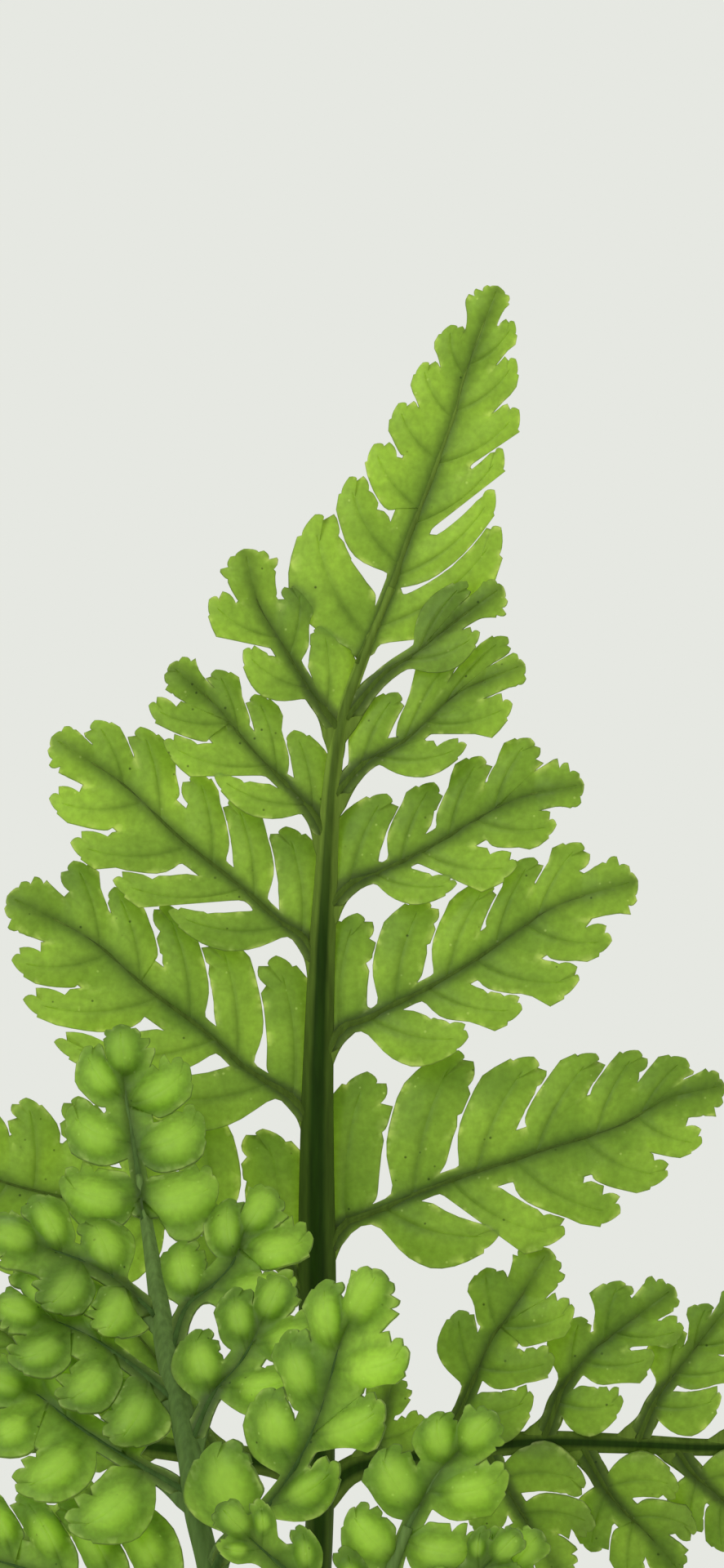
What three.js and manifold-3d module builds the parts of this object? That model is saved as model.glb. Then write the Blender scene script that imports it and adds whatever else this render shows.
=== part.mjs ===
// A bear's foot fern, lifted whole: a creeping rhizome in a coat of scales, with its roots and its fronds.
// Millimetres, +Z up. The origin is the flat spot under the middle of the rhizome, and +Y runs from front to back.
// A frond is drawn flat first, as a plan of u to the right and v upwards, and is then laid on a curved surface.
import * as THREE from "three";
import { mergeVertices } from "three/addons/utils/BufferGeometryUtils.js";
import Module from "manifold-3d";

const wasm = await Module();
wasm.setup();

// Thickness of the green sheet at a leaflet's margin, along its midvein, and along the rib of a pinna.
const BLADE = 0.6;
const VEIN = 0.7;
const RIB = 0.9;

const WING = 0.5; // green that runs along a rib between two leaflets
const SLIT = 0.12; // clear width between neighbouring leaflets
const WIDEST = 0.44; // where a leaflet is widest, as a share of its length
const END_LENGTH = 2.3; // length of the leaflet at a pinna's end, in half widths
const CAMBER = 0.35; // how far a plain leaflet arches
const POUCH = 1.2; // how far the pouch of a fertile leaflet stands up
const TILT = 0.2; // turn of a pinna about its own chord

// How a leaflet on a pinna's upper side, on its lower side and at its end is drawn: how far its midvein bows towards
// the pinna's foot, as a share of its length, and how full it is towards the foot and towards the tip.
const UPPER = { bow: 0.03, foot: 1.1, tip: 1.45 };
const LOWER = { bow: 0.08, foot: 1.3, tip: 1.25 };
const EVEN = { bow: 0, foot: 1.15, tip: 1.15 };

// The fronds are drawn as seen from here, so that a nearer leaf is smaller than it looks.
const EYE = { x: 2.175, z: 104, distance: 400 };
const FOOT = 62; // height at which v is 0 in their plans

// The rhizome, and the sockets that the stipes stand in.
const RHIZOME = 3.5;
const RELIEF = 0.45;
const SOCKET_TOP = 8.6;
const SOCKET_DEPTH = 1.5;
const SOCKET = 1.4;
const COLLAR = 2;
const STIPE = 1.1;
const SEAT_GAP = 0.3;
const ROOT = 0.35;

const LEAF_GREEN = 0x7da332;
const FERTILE_GREEN = 0x6f9a34;
const SCALE_BROWN = 0x9a8468;

const mix = THREE.MathUtils.lerp;
const flat = ([u, v]) => new THREE.Vector3(u, v, 0);
const space = ([x, y, z]) => new THREE.Vector3(x, y, z);
const curveThrough = (points) => new THREE.CatmullRomCurve3(points, false, "centripetal");

// A seeded random number from 0 to 1, so that every build is the same.
function dice(seed) {
  let state = seed;
  return () => {
    state = (state * 1664525 + 1013904223) % 4294967296;
    return state / 4294967296;
  };
}

// A closed solid from the corner points of its triangles.
function solidOf(corners) {
  const geometry = new THREE.BufferGeometry();
  const numbers = corners.flatMap((p) => p.toArray());
  geometry.setAttribute("position", new THREE.Float32BufferAttribute(numbers, 3));
  return solidFrom(geometry);
}

function solidFrom(geometry) {
  geometry.deleteAttribute("normal");
  geometry.deleteAttribute("uv");
  const merged = mergeVertices(geometry, 1e-4);
  return new wasm.Manifold(
    new wasm.Mesh({
      numProp: 3,
      vertProperties: merged.attributes.position.array,
      triVerts: new Uint32Array(merged.index.array),
    }),
  );
}

function meshOf(name, colour, solid) {
  const { vertProperties, triVerts } = solid.getMesh();
  const geometry = new THREE.BufferGeometry();
  geometry.setAttribute("position", new THREE.BufferAttribute(vertProperties, 3));
  geometry.setIndex(new THREE.BufferAttribute(triVerts, 1));
  const mesh = new THREE.Mesh(geometry, new THREE.MeshStandardMaterial({ color: colour, roughness: 0.55 }));
  mesh.name = name;
  return mesh;
}

const fused = (solids) => solids.reduce((whole, next) => whole.add(next));

// A stem along a curve: rings of points, with the radius as a function of the share of its length, and of the
// ring and the side.
function stem(curve, radius, steps, sides) {
  const frames = curve.computeFrenetFrames(steps, false);
  const rings = frames.tangents.map((_, i) =>
    Array.from({ length: sides }, (_, j) => {
      const turn = (j / sides) * 2 * Math.PI;
      const r = radius(i / steps, i, j);
      return curve
        .getPointAt(i / steps)
        .addScaledVector(frames.normals[i], r * Math.cos(turn))
        .addScaledVector(frames.binormals[i], r * Math.sin(turn));
    }),
  );
  const corners = [];
  for (let j = 0; j < sides; j++) {
    const k = (j + 1) % sides;
    for (let i = 0; i < steps; i++) {
      const [a, b, c, d] = [rings[i][j], rings[i][k], rings[i + 1][k], rings[i + 1][j]];
      corners.push(a, b, c, a, c, d);
    }
    corners.push(curve.getPointAt(0), rings[0][k], rings[0][j]);
    corners.push(curve.getPointAt(1), rings[steps][j], rings[steps][k]);
  }
  return solidOf(corners);
}

// Half a leaflet's width past its widest place: an arch that falls to nothing at the tip.
const arch = (s) => (1 - ((s - WIDEST) / (1 - WIDEST)) ** 3.2) ** 0.7;

// One leaflet: it leaves the rib at the share t as a wedge, is widest before its middle and tapers to a blunt tip.
// The margin runs from the side of the pinna's foot, where q is negative, round the tip to the other side, which
// comes down in teeth. Each point of it hangs from the leaflet's base on the rib or from its heart.
function leaflet(rib, side, [t, u, v, half], fertile, { bow, foot, tip: full }) {
  const base = rib.getPointAt(t);
  const tip = flat([u, v]);
  const axis = tip.clone().sub(base);
  const length = axis.length();
  axis.normalize();
  const across = new THREE.Vector3(axis.y * side, -axis.x * side, 0);
  const at = (s, q) =>
    base
      .clone()
      .addScaledVector(axis, s * length)
      .addScaledVector(across, q * half - bow * length * 4 * s * (1 - s));
  const heart = at(WIDEST, 0);
  const teeth = half > 1.15 ? [0.86, 0.62] : [0.8];
  const steps = teeth.flatMap((s) => [
    [s + 0.05, full * (arch(s) - 0.24)],
    [s, full * arch(s)],
  ]);
  const outline = [[WIDEST, -foot], [0.83, -foot * arch(0.83)], [1, 0], ...steps, [WIDEST, full]];
  const margin = outline.map(([s, q]) => ({ hang: heart, far: s * length, q: q || 1, point: at(s, q) }));
  if (half > 1.55) {
    margin.unshift({ hang: base, far: 0.2 * length, q: -1, point: at(0.2, -0.75 * foot) });
    margin.push({ hang: base, far: 0.2 * length, q: 1, point: at(0.2, 0.6 * full) });
  }
  const midvein = [new THREE.Line3(base, heart), new THREE.Line3(heart, tip)];
  return { t, base, heart, tip, half, length, fertile, margin, midvein };
}

const gapTo = (point, lines) =>
  Math.min(...lines.map((line) => line.closestPointToPoint(point, true, new THREE.Vector3()).distanceTo(point)));

// Draws the margin in until the slit to each neighbouring leaflet is clear.
function trim(leaf, neighbours) {
  for (const m of leaf.margin) {
    const full = m.point.clone();
    for (let share = 1; share > 0.1; share -= 0.04) {
      m.point = m.hang.clone().lerp(full, share);
      const own = gapTo(m.point, leaf.midvein) + SLIT / 2;
      if (neighbours.every((other) => own <= gapTo(m.point, other.midvein))) break;
    }
  }
}

// Twice the area of a triangle of the plan, positive where its corners run anticlockwise.
const area = (p, q, r) => (q.x - p.x) * (r.y - p.y) - (q.y - p.y) * (r.x - p.x);

// The faces between two stations of a ribbon, as corners of the quad [hang a, point a, point b, hang b]. The quad is
// cut along the diagonal that leaves neither half folded over.
function facesBetween(a, b) {
  const corners = [a.hang, a.point, b.point, b.hang];
  const cuts = [
    [0, 1, 2, 0, 2, 3],
    [0, 1, 3, 1, 2, 3],
  ];
  const worst = ([i, j, k, l, m, n]) =>
    Math.min(area(corners[i], corners[j], corners[k]), area(corners[l], corners[m], corners[n]));
  const [first, second] = cuts.map(worst);
  return { cut: first >= second ? cuts[0] : cuts[1], folded: Math.max(first, second) < -1e-4 };
}

// Leaves out each point of a leaflet's margin that would fold the ribbon.
function unfold(round) {
  const stations = [...round];
  for (let i = 0; i < stations.length; i++) {
    const j = (i + 1) % stations.length;
    if (!facesBetween(stations[i], stations[j]).folded) continue;
    const spare = [j, i].filter((k) => stations[k].leaf);
    if (!spare.length) continue;
    stations.splice(spare[0], 1);
    i = Math.max(-1, i - 3);
  }
  return stations;
}

// A pinna is one thin sheet, cut to the rib between its leaflets: a ribbon between the veins and the margin, walked
// once round, out along the right side, round the leaflet at the end and back along the left side. Towards the
// pinna's end the leaflets grow together, from the share `joined` on.
function pinna(surface, { path, left = [], right = [], half, joined = 0.5, fertile = false }, upper) {
  const rib = curveThrough(path.map(flat));
  const tipShare = 1 - (END_LENGTH * half) / rib.getLength();
  const end = rib.getPointAt(1).addScaledVector(rib.getTangentAt(1), 0.3);
  const tip = leaflet(rib, -1, [tipShare, end.x, end.y, 1.2 * half], fertile, EVEN);
  const row = (leaflets, side) => leaflets.map((l) => leaflet(rib, side, l, fertile, side === upper ? UPPER : LOWER));
  const rows = [row(right, -1), row(left, 1)];
  for (const leaves of rows)
    leaves.forEach((leaf, k) => trim(leaf, [leaves[k - 1], leaves[k + 1] ?? tip].filter(Boolean)));
  trim(tip, rows.flatMap((leaves) => leaves.slice(-1)));
  const stops = [...new Set([0, tipShare, ...rows.flat().map((l) => l.t)])].sort((a, b) => a - b);

  // One side of the rib. The margin before each leaflet is a single point, from which a fan covers the rib, and
  // then comes the leaflet's own margin, without what lies inside the stretch that is grown together.
  const walk = (leaves, side) => {
    const stations = [];
    const outward = (t) => {
      const ahead = rib.getTangentAt(t);
      return new THREE.Vector3(-ahead.y * side, ahead.x * side, 0);
    };
    const fan = (from, to, point) => {
      for (const t of stops) if (t >= from && t <= to) stations.push({ share: t, hang: rib.getPointAt(t), point });
    };
    fan(0, 0, rib.getPointAt(0).addScaledVector(outward(0), WING));
    [...leaves, tip].forEach((leaf, k) => {
      const before = leaves[k - 1];
      const cut = before ? mix(before.t, leaf.t, 0.55) : leaf.t / 2;
      const way = outward(cut);
      let reach = WING;
      if (before) {
        const grown = THREE.MathUtils.smoothstep(cut, joined - 0.2, joined + 0.25);
        reach = mix(WING, 0.55 * Math.min(before.length, leaf.length), grown);
        way.addScaledVector(before.tip.clone().sub(before.base).normalize(), 1 + grown).normalize();
        while (stations.at(-1).leaf && stations.at(-1).far < reach) stations.pop();
      }
      fan(before ? before.t : 0, leaf.t, rib.getPointAt(cut).addScaledVector(way, reach));
      if (leaf === tip) return;
      for (const m of leaf.margin) if (m.q > 0 || m.far > reach) stations.push({ share: leaf.t, leaf, ...m });
    });
    return stations;
  };
  const last = tip.margin.map((m) => ({ share: tipShare, leaf: tip, ...m }));
  const round = unfold([...walk(rows[0], -1), ...last, ...walk(rows[1], 1).reverse()]);

  const raised = ({ leaf, hang }) => {
    if (!leaf || hang !== leaf.heart) return 0;
    return (leaf.fertile ? POUCH : CAMBER) * Math.min(1, leaf.half / 1.5);
  };
  const lie = (station, face) => {
    const rise = raised(station);
    const thick = rise ? VEIN : mix(RIB, VEIN, station.share);
    return [surface(station.hang, rise, (face * thick) / 2), surface(station.point, 0, (face * BLADE) / 2)];
  };
  const corners = [];
  const add = (p, q, r) => {
    if (p.distanceTo(q) > 1e-3 && q.distanceTo(r) > 1e-3 && r.distanceTo(p) > 1e-3) corners.push(p, q, r);
  };
  round.forEach((a, i) => {
    const b = round[(i + 1) % round.length];
    const [veinA, edgeA] = lie(a, 1);
    const [veinB, edgeB] = lie(b, 1);
    const [underVeinA, underEdgeA] = lie(a, -1);
    const [underVeinB, underEdgeB] = lie(b, -1);
    const above = [veinA, edgeA, edgeB, veinB];
    const under = [underVeinA, underEdgeA, underEdgeB, underVeinB];
    const [i0, i1, i2, i3, i4, i5] = facesBetween(a, b).cut;
    add(above[i0], above[i1], above[i2]);
    add(above[i3], above[i4], above[i5]);
    add(under[i0], under[i2], under[i1]);
    add(under[i3], under[i5], under[i4]);
    add(edgeA, underEdgeA, underEdgeB);
    add(edgeA, underEdgeB, edgeB);
  });
  return solidOf(corners);
}

// The surface of one pinna. It lies on the frond's surface and turns about its own chord: leaflets on the upper
// side go back and those on the lower side come forward, so that neighbouring pinnae pass each other.
function onSurface(place, path, { tilt = TILT, rise = 0, upper = 1 } = {}) {
  const node = flat(path[0]);
  const chord = flat(path[path.length - 1]).sub(node).normalize();
  const at = (u, v, raised) => {
    const way = new THREE.Vector3(u, v, 0).sub(node);
    const off = (chord.x * way.y - chord.y * way.x) * upper;
    const far = Math.max(0, way.dot(chord));
    return place(u, v, raised + rise * far - tilt * off * Math.min(1, far / 2));
  };
  return (p, raised, half) => {
    const e = 0.05;
    const du = at(p.x + e, p.y, raised).sub(at(p.x - e, p.y, raised));
    const dv = at(p.x, p.y + e, raised).sub(at(p.x, p.y - e, raised));
    return at(p.x, p.y, raised).addScaledVector(du.cross(dv).normalize(), half);
  };
}

// All pinnae of a frond. Each rises from the frond's surface a little more or less than the next.
function lay(place, plans, seed, options = {}) {
  const random = dice(seed);
  return plans.map((plan) => {
    const upper = plan.upper ?? Math.sign(plan.path[plan.path.length - 1][0] - plan.path[0][0]);
    const rise = (plan.rise ?? 0) + (random() - 0.5) * 0.05;
    return pinna(onSurface(place, plan.path, { upper, rise, ...options }), plan, upper);
  });
}

// Leaflets by rule on one side of a rib, where a pinna isn't drawn leaflet by leaflet.
function leafletsByRule(path, half, { n, side, reach, lean = 0.95, first = 0.13 }) {
  const rib = curveThrough(path.map(flat));
  const last = 0.9 * (1 - (END_LENGTH * half) / rib.getLength());
  return Array.from({ length: n }, (_, k) => {
    const t = n > 1 ? mix(first, last, k / (n - 1)) : mix(first, last, 0.3);
    const length = reach * (1 - 0.45 * t);
    const tip = rib.getTangentAt(t).applyAxisAngle(new THREE.Vector3(0, 0, 1), side * lean * (1 - 0.25 * t));
    tip.multiplyScalar(length).add(rib.getPointAt(t));
    return [t, tip.x, tip.y, length * 0.25];
  });
}

// A pinna by rule from its node, with its angle from the u axis, its length, and n leaflets on its upper side.
function pinnaByRule(node, angle, length, n, { upper = 1, fertile = false } = {}) {
  const reach = length * 0.38;
  const half = THREE.MathUtils.clamp(reach * 0.24, 0.7, 1.3);
  const path = [0, 0.35, 0.7, 1].map((s) => {
    const turn = angle + 0.2 * upper * s;
    return [node[0] + Math.cos(turn) * length * s, node[1] + Math.sin(turn) * length * s];
  });
  const high = leafletsByRule(path, half, { n, reach, side: upper });
  const lowest = { n: Math.max(1, n - 1), reach: reach * 0.9, lean: 0.8, first: 0.22 };
  const low = leafletsByRule(path, half, { ...lowest, side: -upper });
  return { path, half, fertile, upper, left: upper > 0 ? high : low, right: upper > 0 ? low : high };
}

// Pinnae by rule on one side of a stem, from the share `first` of its length on, shorter towards its tip.
function pinnaeByRule(path, side, { first, last = 0.9, count, reach, fertile }) {
  const rib = curveThrough(path.map(flat));
  return Array.from({ length: count }, (_, k) => {
    const t = mix(first, last, k / Math.max(1, count - 1));
    const node = rib.getPointAt(t);
    const ahead = rib.getTangentAt(t);
    const length = reach * Math.sqrt(1.12 - t);
    return pinnaByRule([node.x, node.y], Math.atan2(ahead.y, ahead.x) + side, length, length > 8 ? 3 : 2, {
      upper: -side,
      fertile,
    });
  });
}

// The tallest frond. A leaflet is [share of the rib, u and v of its tip, half its width].
const TALL_RACHIS = [
  [-0.4, -2],
  [-0.5, 5],
  [-0.6, 17],
  [-0.5, 25],
  [-0.1, 35],
  [0.75, 45],
  [2.35, 50],
  [4, 54],
];
const TALL_PINNAE = [
  {
    path: [[-0.3, 12.6], [1, 15], [3, 15.8], [7, 17.5], [10, 18.5], [14, 19.8], [18, 21.1], [21, 22.8], [24.1, 23.5]],
    left: [
      [0.11, 2.5, 24.4, 2.25],
      [0.27, 8.1, 25.7, 2.25],
      [0.42, 12.7, 25.3, 2.05],
      [0.56, 16.5, 25.5, 1.8],
      [0.7, 19.1, 25.7, 1.6],
      [0.81, 22, 25.2, 1.5],
    ],
    right: [
      [0.2, 10.6, 14.4, 1.95],
      [0.36, 14.6, 14.4, 1.95],
      [0.51, 18, 15.7, 1.85],
      [0.67, 20.9, 18, 1.6],
      [0.8, 23, 20, 1.35],
    ],
    half: 1.4,
  },
  {
    path: [[-0.2, 25.2], [1, 27.1], [2.5, 27.6], [4, 28.4], [7.5, 30.2], [11, 32.5], [14, 34.5], [18.8, 36]],
    left: [
      [0.09, 1.9, 34.1, 1.85],
      [0.26, 6, 35, 1.8],
      [0.42, 10, 36, 1.6],
      [0.58, 12.7, 37.5, 1.6],
      [0.72, 15.6, 38.4, 1.45],
    ],
    right: [
      [0.18, 8.7, 26.5, 1.6],
      [0.36, 12, 28.2, 1.5],
      [0.51, 15.5, 30, 1.8],
      [0.68, 17.5, 32.4, 1.45],
    ],
    half: 1.5,
  },
  {
    path: [[-0.1, 34.2], [1.5, 35.9], [3.5, 36.7], [6.5, 38.2], [9.5, 40], [12, 41.2], [15.5, 41.9]],
    left: [
      [0.13, 3.7, 41.4, 1.75],
      [0.32, 6.6, 42.1, 1.4],
      [0.51, 9.5, 43.7, 1.5],
      [0.69, 12.5, 44.8, 1.5],
    ],
    right: [
      [0.22, 8, 35.9, 0.95],
      [0.4, 11.7, 37, 1.4],
      [0.62, 14.1, 39.5, 1.35],
    ],
    half: 1.25,
  },
  {
    path: [[0.4, 41.2], [2.5, 43.4], [4, 44.1], [5.5, 45.2], [8, 47.5], [11.9, 49.2]],
    left: [
      [0.18, 4.4, 47.6, 1.35],
      [0.4, 8.9, 51.1, 1.5],
      [0.64, 11.1, 51, 1.1],
    ],
    right: [
      [0.26, 8.6, 44.4, 0.95],
      [0.52, 11.4, 46.9, 1.35],
    ],
    half: 1.15,
  },
  {
    path: [[1.2, 46], [3.5, 48.7], [5.5, 50], [8, 52], [10.6, 53.9]],
    left: [[0.5, 8.6, 54.4, 0.95]],
    right: [[0.42, 9.4, 51.3, 0.95]],
    half: 1.1,
    rise: 0.12,
  },
  {
    path: [[0.9, 45.2], [-0.5, 47], [-1.7, 48.8], [-3, 51], [-4.2, 53], [-5, 56.1]],
    left: [
      [0.26, -5.1, 50.2, 1.2],
      [0.55, -7.2, 53.3, 1.4],
    ],
    right: [
      [0.12, -0.3, 51.7, 1.6],
      [0.45, -1.7, 54.2, 1.5],
    ],
    half: 1.4,
  },
  {
    path: [[0.1, 38.5], [-0.8, 40.2], [-2.5, 42], [-4, 43.5], [-5.5, 45.2], [-6.8, 46.8], [-9.4, 49.1]],
    left: [
      [0.18, -6.9, 42.6, 0.95],
      [0.42, -10, 44.6, 1.2],
      [0.66, -10.9, 46.8, 1.2],
    ],
    right: [
      [0.14, -2, 45.3, 1.4],
      [0.36, -4.4, 47.5, 1.3],
      [0.6, -6.8, 49, 1.3],
    ],
    half: 1.2,
  },
  {
    path: [[-0.3, 30.4], [-1.3, 32.5], [-3, 33.7], [-5, 35.5], [-9, 38.7], [-12.5, 42], [-16.6, 44.7]],
    left: [
      [0.17, -9.7, 34.2, 1.1],
      [0.33, -13.1, 36.1, 1.3],
      [0.52, -15.7, 38.4, 1.4],
      [0.7, -17, 41.1, 1.35],
    ],
    right: [
      [0.12, -2.5, 39.4, 1.95],
      [0.29, -5.7, 41.2, 1.5],
      [0.44, -8, 42.7, 1.45],
      [0.63, -11.4, 45.5, 1.45],
      [0.77, -14.2, 45.9, 1.3],
    ],
    half: 1.25,
  },
  {
    path: [[-0.5, 20.7], [-2, 22.7], [-5, 24.6], [-7, 26.5], [-11, 29.5], [-14.5, 32.5], [-19.3, 35]],
    left: [
      [0.18, -12.5, 23.5, 1.75],
      [0.36, -16.7, 26.2, 1.4],
      [0.54, -18.6, 28.8, 1.4],
      [0.71, -19.3, 31.2, 1.35],
    ],
    right: [
      [0.11, -3.1, 31.5, 2.05],
      [0.28, -6.7, 32.7, 1.95],
      [0.44, -10, 34.7, 1.5],
      [0.6, -13, 35.7, 1.4],
      [0.74, -15.5, 37.3, 1.45],
    ],
    half: 1.4,
  },
  {
    path: [[-0.5, 9.6], [-3, 13], [-7.5, 15], [-12.5, 16.1], [-16.5, 16.8], [-20, 17.7], [-25.5, 20]],
    left: [
      [0.27, -10, 10.6, 1.85],
      [0.44, -15, 11.8, 1.75],
      [0.61, -20, 12.2, 1.75],
      [0.77, -23.5, 14.5, 1.4],
    ],
    right: [
      [0.15, -3.9, 20.9, 2.45],
      [0.32, -8.2, 22.7, 2.05],
      [0.46, -11.9, 22.6, 1.85],
      [0.59, -15.2, 22.9, 1.75],
      [0.71, -18.4, 22.8, 1.6],
      [0.82, -21.5, 22.6, 1.4],
    ],
    half: 1.3,
  },
];
const TALL_TOP = {
  path: [[2, 49.3], [4, 54], [5, 57], [6, 59.5], [6.9, 62], [7.8, 64.5], [8.3, 66.5], [9, 68.5], [10.4, 72.2]],
  left: [
    [0.07, -0.7, 58.5, 2.3],
    [0.27, 1.4, 60.8, 1.6],
    [0.42, 2.9, 62.8, 1.45],
    [0.55, 4.4, 65.3, 1.4],
    [0.66, 5.9, 67.8, 1.3],
    [0.77, 7.6, 70.1, 1.2],
  ],
  right: [
    [0.1, 10.7, 57.7, 1.9],
    [0.24, 10.3, 60, 1.45],
    [0.38, 10.8, 62.5, 1.5],
    [0.54, 11.8, 64.9, 1.45],
    [0.68, 11.6, 68, 1.2],
    [0.8, 11.5, 70.3, 0.95],
  ],
  half: 1,
  joined: 0.36,
  upper: 0,
};

// Its lowest pair of pinnae are divided again, and their pinnules stand on a stem of their own.
const LOW_RIGHT = [[-0.4, -2], [1.5, 0], [6, 0.9], [12.5, 1.7], [18.6, 1.6], [24.4, 1.4], [32, 2.2], [38, 3.6]];
const LOW_LEFT = LOW_RIGHT.map(([u, v]) => [-0.8 - u, v]);
const RIGHT_PINNULES = [
  {
    path: [[2.6, 0.2], [3.2, 2.5], [4.2, 5.6]],
    right: [[0.3, 6, 3.2, 1.1]],
    half: 0.95,
  },
  {
    path: [[7.1, 0.9], [8.1, 3.2], [9.5, 6.7], [10.2, 8.2], [11.4, 9.8], [13.5, 13.3]],
    left: [
      [0.36, 8.1, 9.8, 1.45],
      [0.6, 9.8, 12.4, 1.45],
    ],
    right: [
      [0.2, 12.7, 4.5, 1.7],
      [0.42, 14, 6.8, 1.55],
      [0.62, 15.2, 9.9, 1.55],
    ],
    half: 1.3,
  },
  {
    path: [[13.2, 1.6], [13.8, 3.2], [14.5, 5], [16.2, 7.2], [18.2, 8.8], [21.1, 11]],
    left: [
      [0.36, 15.6, 9.4, 1.45],
      [0.6, 18, 11.6, 1.55],
    ],
    right: [
      [0.22, 18.2, 4.2, 1.55],
      [0.45, 20.1, 7, 1.55],
      [0.66, 21.9, 8.7, 1.3],
    ],
    half: 1.2,
  },
  {
    path: [[19, 1.6], [19.8, 3.5], [20.5, 4.8], [22.2, 7], [25, 10.5]],
    left: [
      [0.4, 21.7, 8.6, 1.45],
      [0.63, 23.4, 10.2, 1.3],
    ],
    right: [
      [0.24, 24.2, 4.5, 1.55],
      [0.46, 25.7, 6.8, 1.45],
      [0.66, 26.5, 9, 1.2],
    ],
    half: 1.1,
  },
  {
    path: [[9.9, 1.1], [11.1, -1.2], [12.7, -3.8], [14.5, -6.6]],
    upper: -1,
    left: [
      [0.2, 15.9, -0.8, 1.7],
      [0.48, 16.5, -3.4, 1.3],
    ],
    right: [
      [0.28, 9.3, -4, 1.45],
      [0.55, 11.6, -6.5, 1.3],
    ],
    half: 1.1,
  },
  {
    path: [[15.7, 1.4], [17.6, -1.8], [19.6, -3.8], [21.5, -6]],
    upper: -1,
    left: [
      [0.3, 21.6, -1, 1.55],
      [0.55, 22.7, -3.7, 1.3],
    ],
    right: [
      [0.32, 16.2, -5, 1.45],
      [0.58, 18.5, -6.7, 1.2],
    ],
    half: 1.1,
  },
  {
    path: [[21.4, 1.4], [22.5, -0.2], [24.3, -1.8], [26.7, -4]],
    upper: -1,
    left: [[0.34, 27, -0.7, 1.45]],
    right: [
      [0.3, 22.2, -3.9, 1.3],
      [0.56, 24.3, -5, 1.2],
    ],
    half: 1,
  },
];

// The fertile frond in front of it on the left.
const LEFT_RACHIS = [
  [-3.3, -25],
  [-5, -19],
  [-6.3, -12],
  [-7.2, -6],
  [-8, -2.5],
  [-8.4, 1],
  [-9.7, 7],
  [-10.3, 10.5],
  [-11, 15],
  [-11.5, 18],
];
const LEFT_PINNAE = [
  {
    path: [[-10.5, 9.4], [-13.5, 12], [-17, 13.5], [-20.5, 14.7]],
    left: [
      [0.22, -13.7, 8.2, 1.8],
      [0.5, -17.3, 9.8, 1.8],
    ],
    right: [
      [0.3, -14.5, 15.4, 1.7],
      [0.6, -18, 16.8, 1.45],
    ],
    half: 1.3,
    rise: 0.2,
  },
  {
    path: [[-9.4, 4.3], [-11.7, 6.2], [-14.3, 8], [-16.5, 9], [-20, 10.2]],
    rise: 0.05,
    left: [
      [0.16, -13, 1.5, 1.9],
      [0.38, -16.3, 3.9, 1.7],
      [0.62, -19.5, 6.6, 1.55],
    ],
    right: [
      [0.45, -15.6, 12, 1.45],
      [0.7, -19, 12.6, 1.3],
    ],
    half: 1.2,
  },
  {
    path: [[-8.5, -1.4], [-12.4, 0.8], [-15.6, 2.9], [-17.8, 4.6], [-21, 5.8]],
    rise: -0.1,
    left: [
      [0.2, -15.7, -3.8, 2.05],
      [0.48, -19, -1.3, 1.8],
      [0.7, -21.7, 1.6, 1.45],
    ],
    right: [
      [0.3, -12.6, 5.6, 1.55],
      [0.6, -17, 8, 1.45],
    ],
    half: 1.2,
  },
  {
    path: [[-9.5, 7.2], [-8.5, 10], [-7, 11.2], [-5.8, 12.5], [-5, 14.5], [-3.4, 17]],
    left: [
      [0.3, -9, 14, 1.7],
      [0.6, -6, 16.6, 1.45],
    ],
    right: [
      [0.4, -1.8, 11.6, 1.55],
      [0.66, -0.8, 14.2, 1.8],
    ],
    half: 1.3,
    rise: 0.1,
  },
  {
    path: [[-8.3, 1.6], [-6.8, 4.8], [-5.5, 6.2], [-4.5, 7.8], [-2.7, 11.6]],
    left: [
      [0.28, -8, 8.6, 1.7],
      [0.58, -5.6, 11.2, 1.45],
    ],
    right: [
      [0.34, -1.6, 5.8, 1.55],
      [0.62, -0.4, 9.2, 1.45],
    ],
    half: 1.2,
    rise: 0.3,
  },
  {
    path: [[-7.1, -6.6], [-6, -4.5], [-3, -1.5], [-1.7, 0.5], [-0.7, 2.5], [0, 4.5], [1, 8], [3.2, 12]],
    left: [
      [0.18, -6.9, 1.7, 2.4],
      [0.4, -3.8, 5, 1.9],
      [0.57, -2.3, 8.6, 1.8],
      [0.74, 0, 11.7, 1.55],
    ],
    right: [
      [0.26, 0.8, 0.4, 1.45],
      [0.5, 3.6, 4, 1.9],
      [0.7, 5.1, 7.2, 1.9],
    ],
    half: 1.5,
    rise: 0.75,
  },
  { ...pinnaByRule([-7, -8], Math.PI - 0.05, 20, 5, { upper: -1 }), rise: -0.25 },
];
const LEFT_TOP = {
  path: [[-11.1, 15.3], [-11.5, 18], [-11.9, 20.5], [-12.3, 23], [-12.6, 27]],
  left: [
    [0.12, -16.4, 17.6, 1.9],
    [0.4, -15.9, 22, 1.9],
    [0.62, -14.8, 25.9, 1.45],
  ],
  right: [
    [0.1, -6.6, 17.5, 2.3],
    [0.36, -7.5, 21.6, 2.05],
    [0.6, -8.4, 24.8, 1.7],
  ],
  half: 1.3,
  joined: 0.5,
  upper: 0,
};

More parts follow.
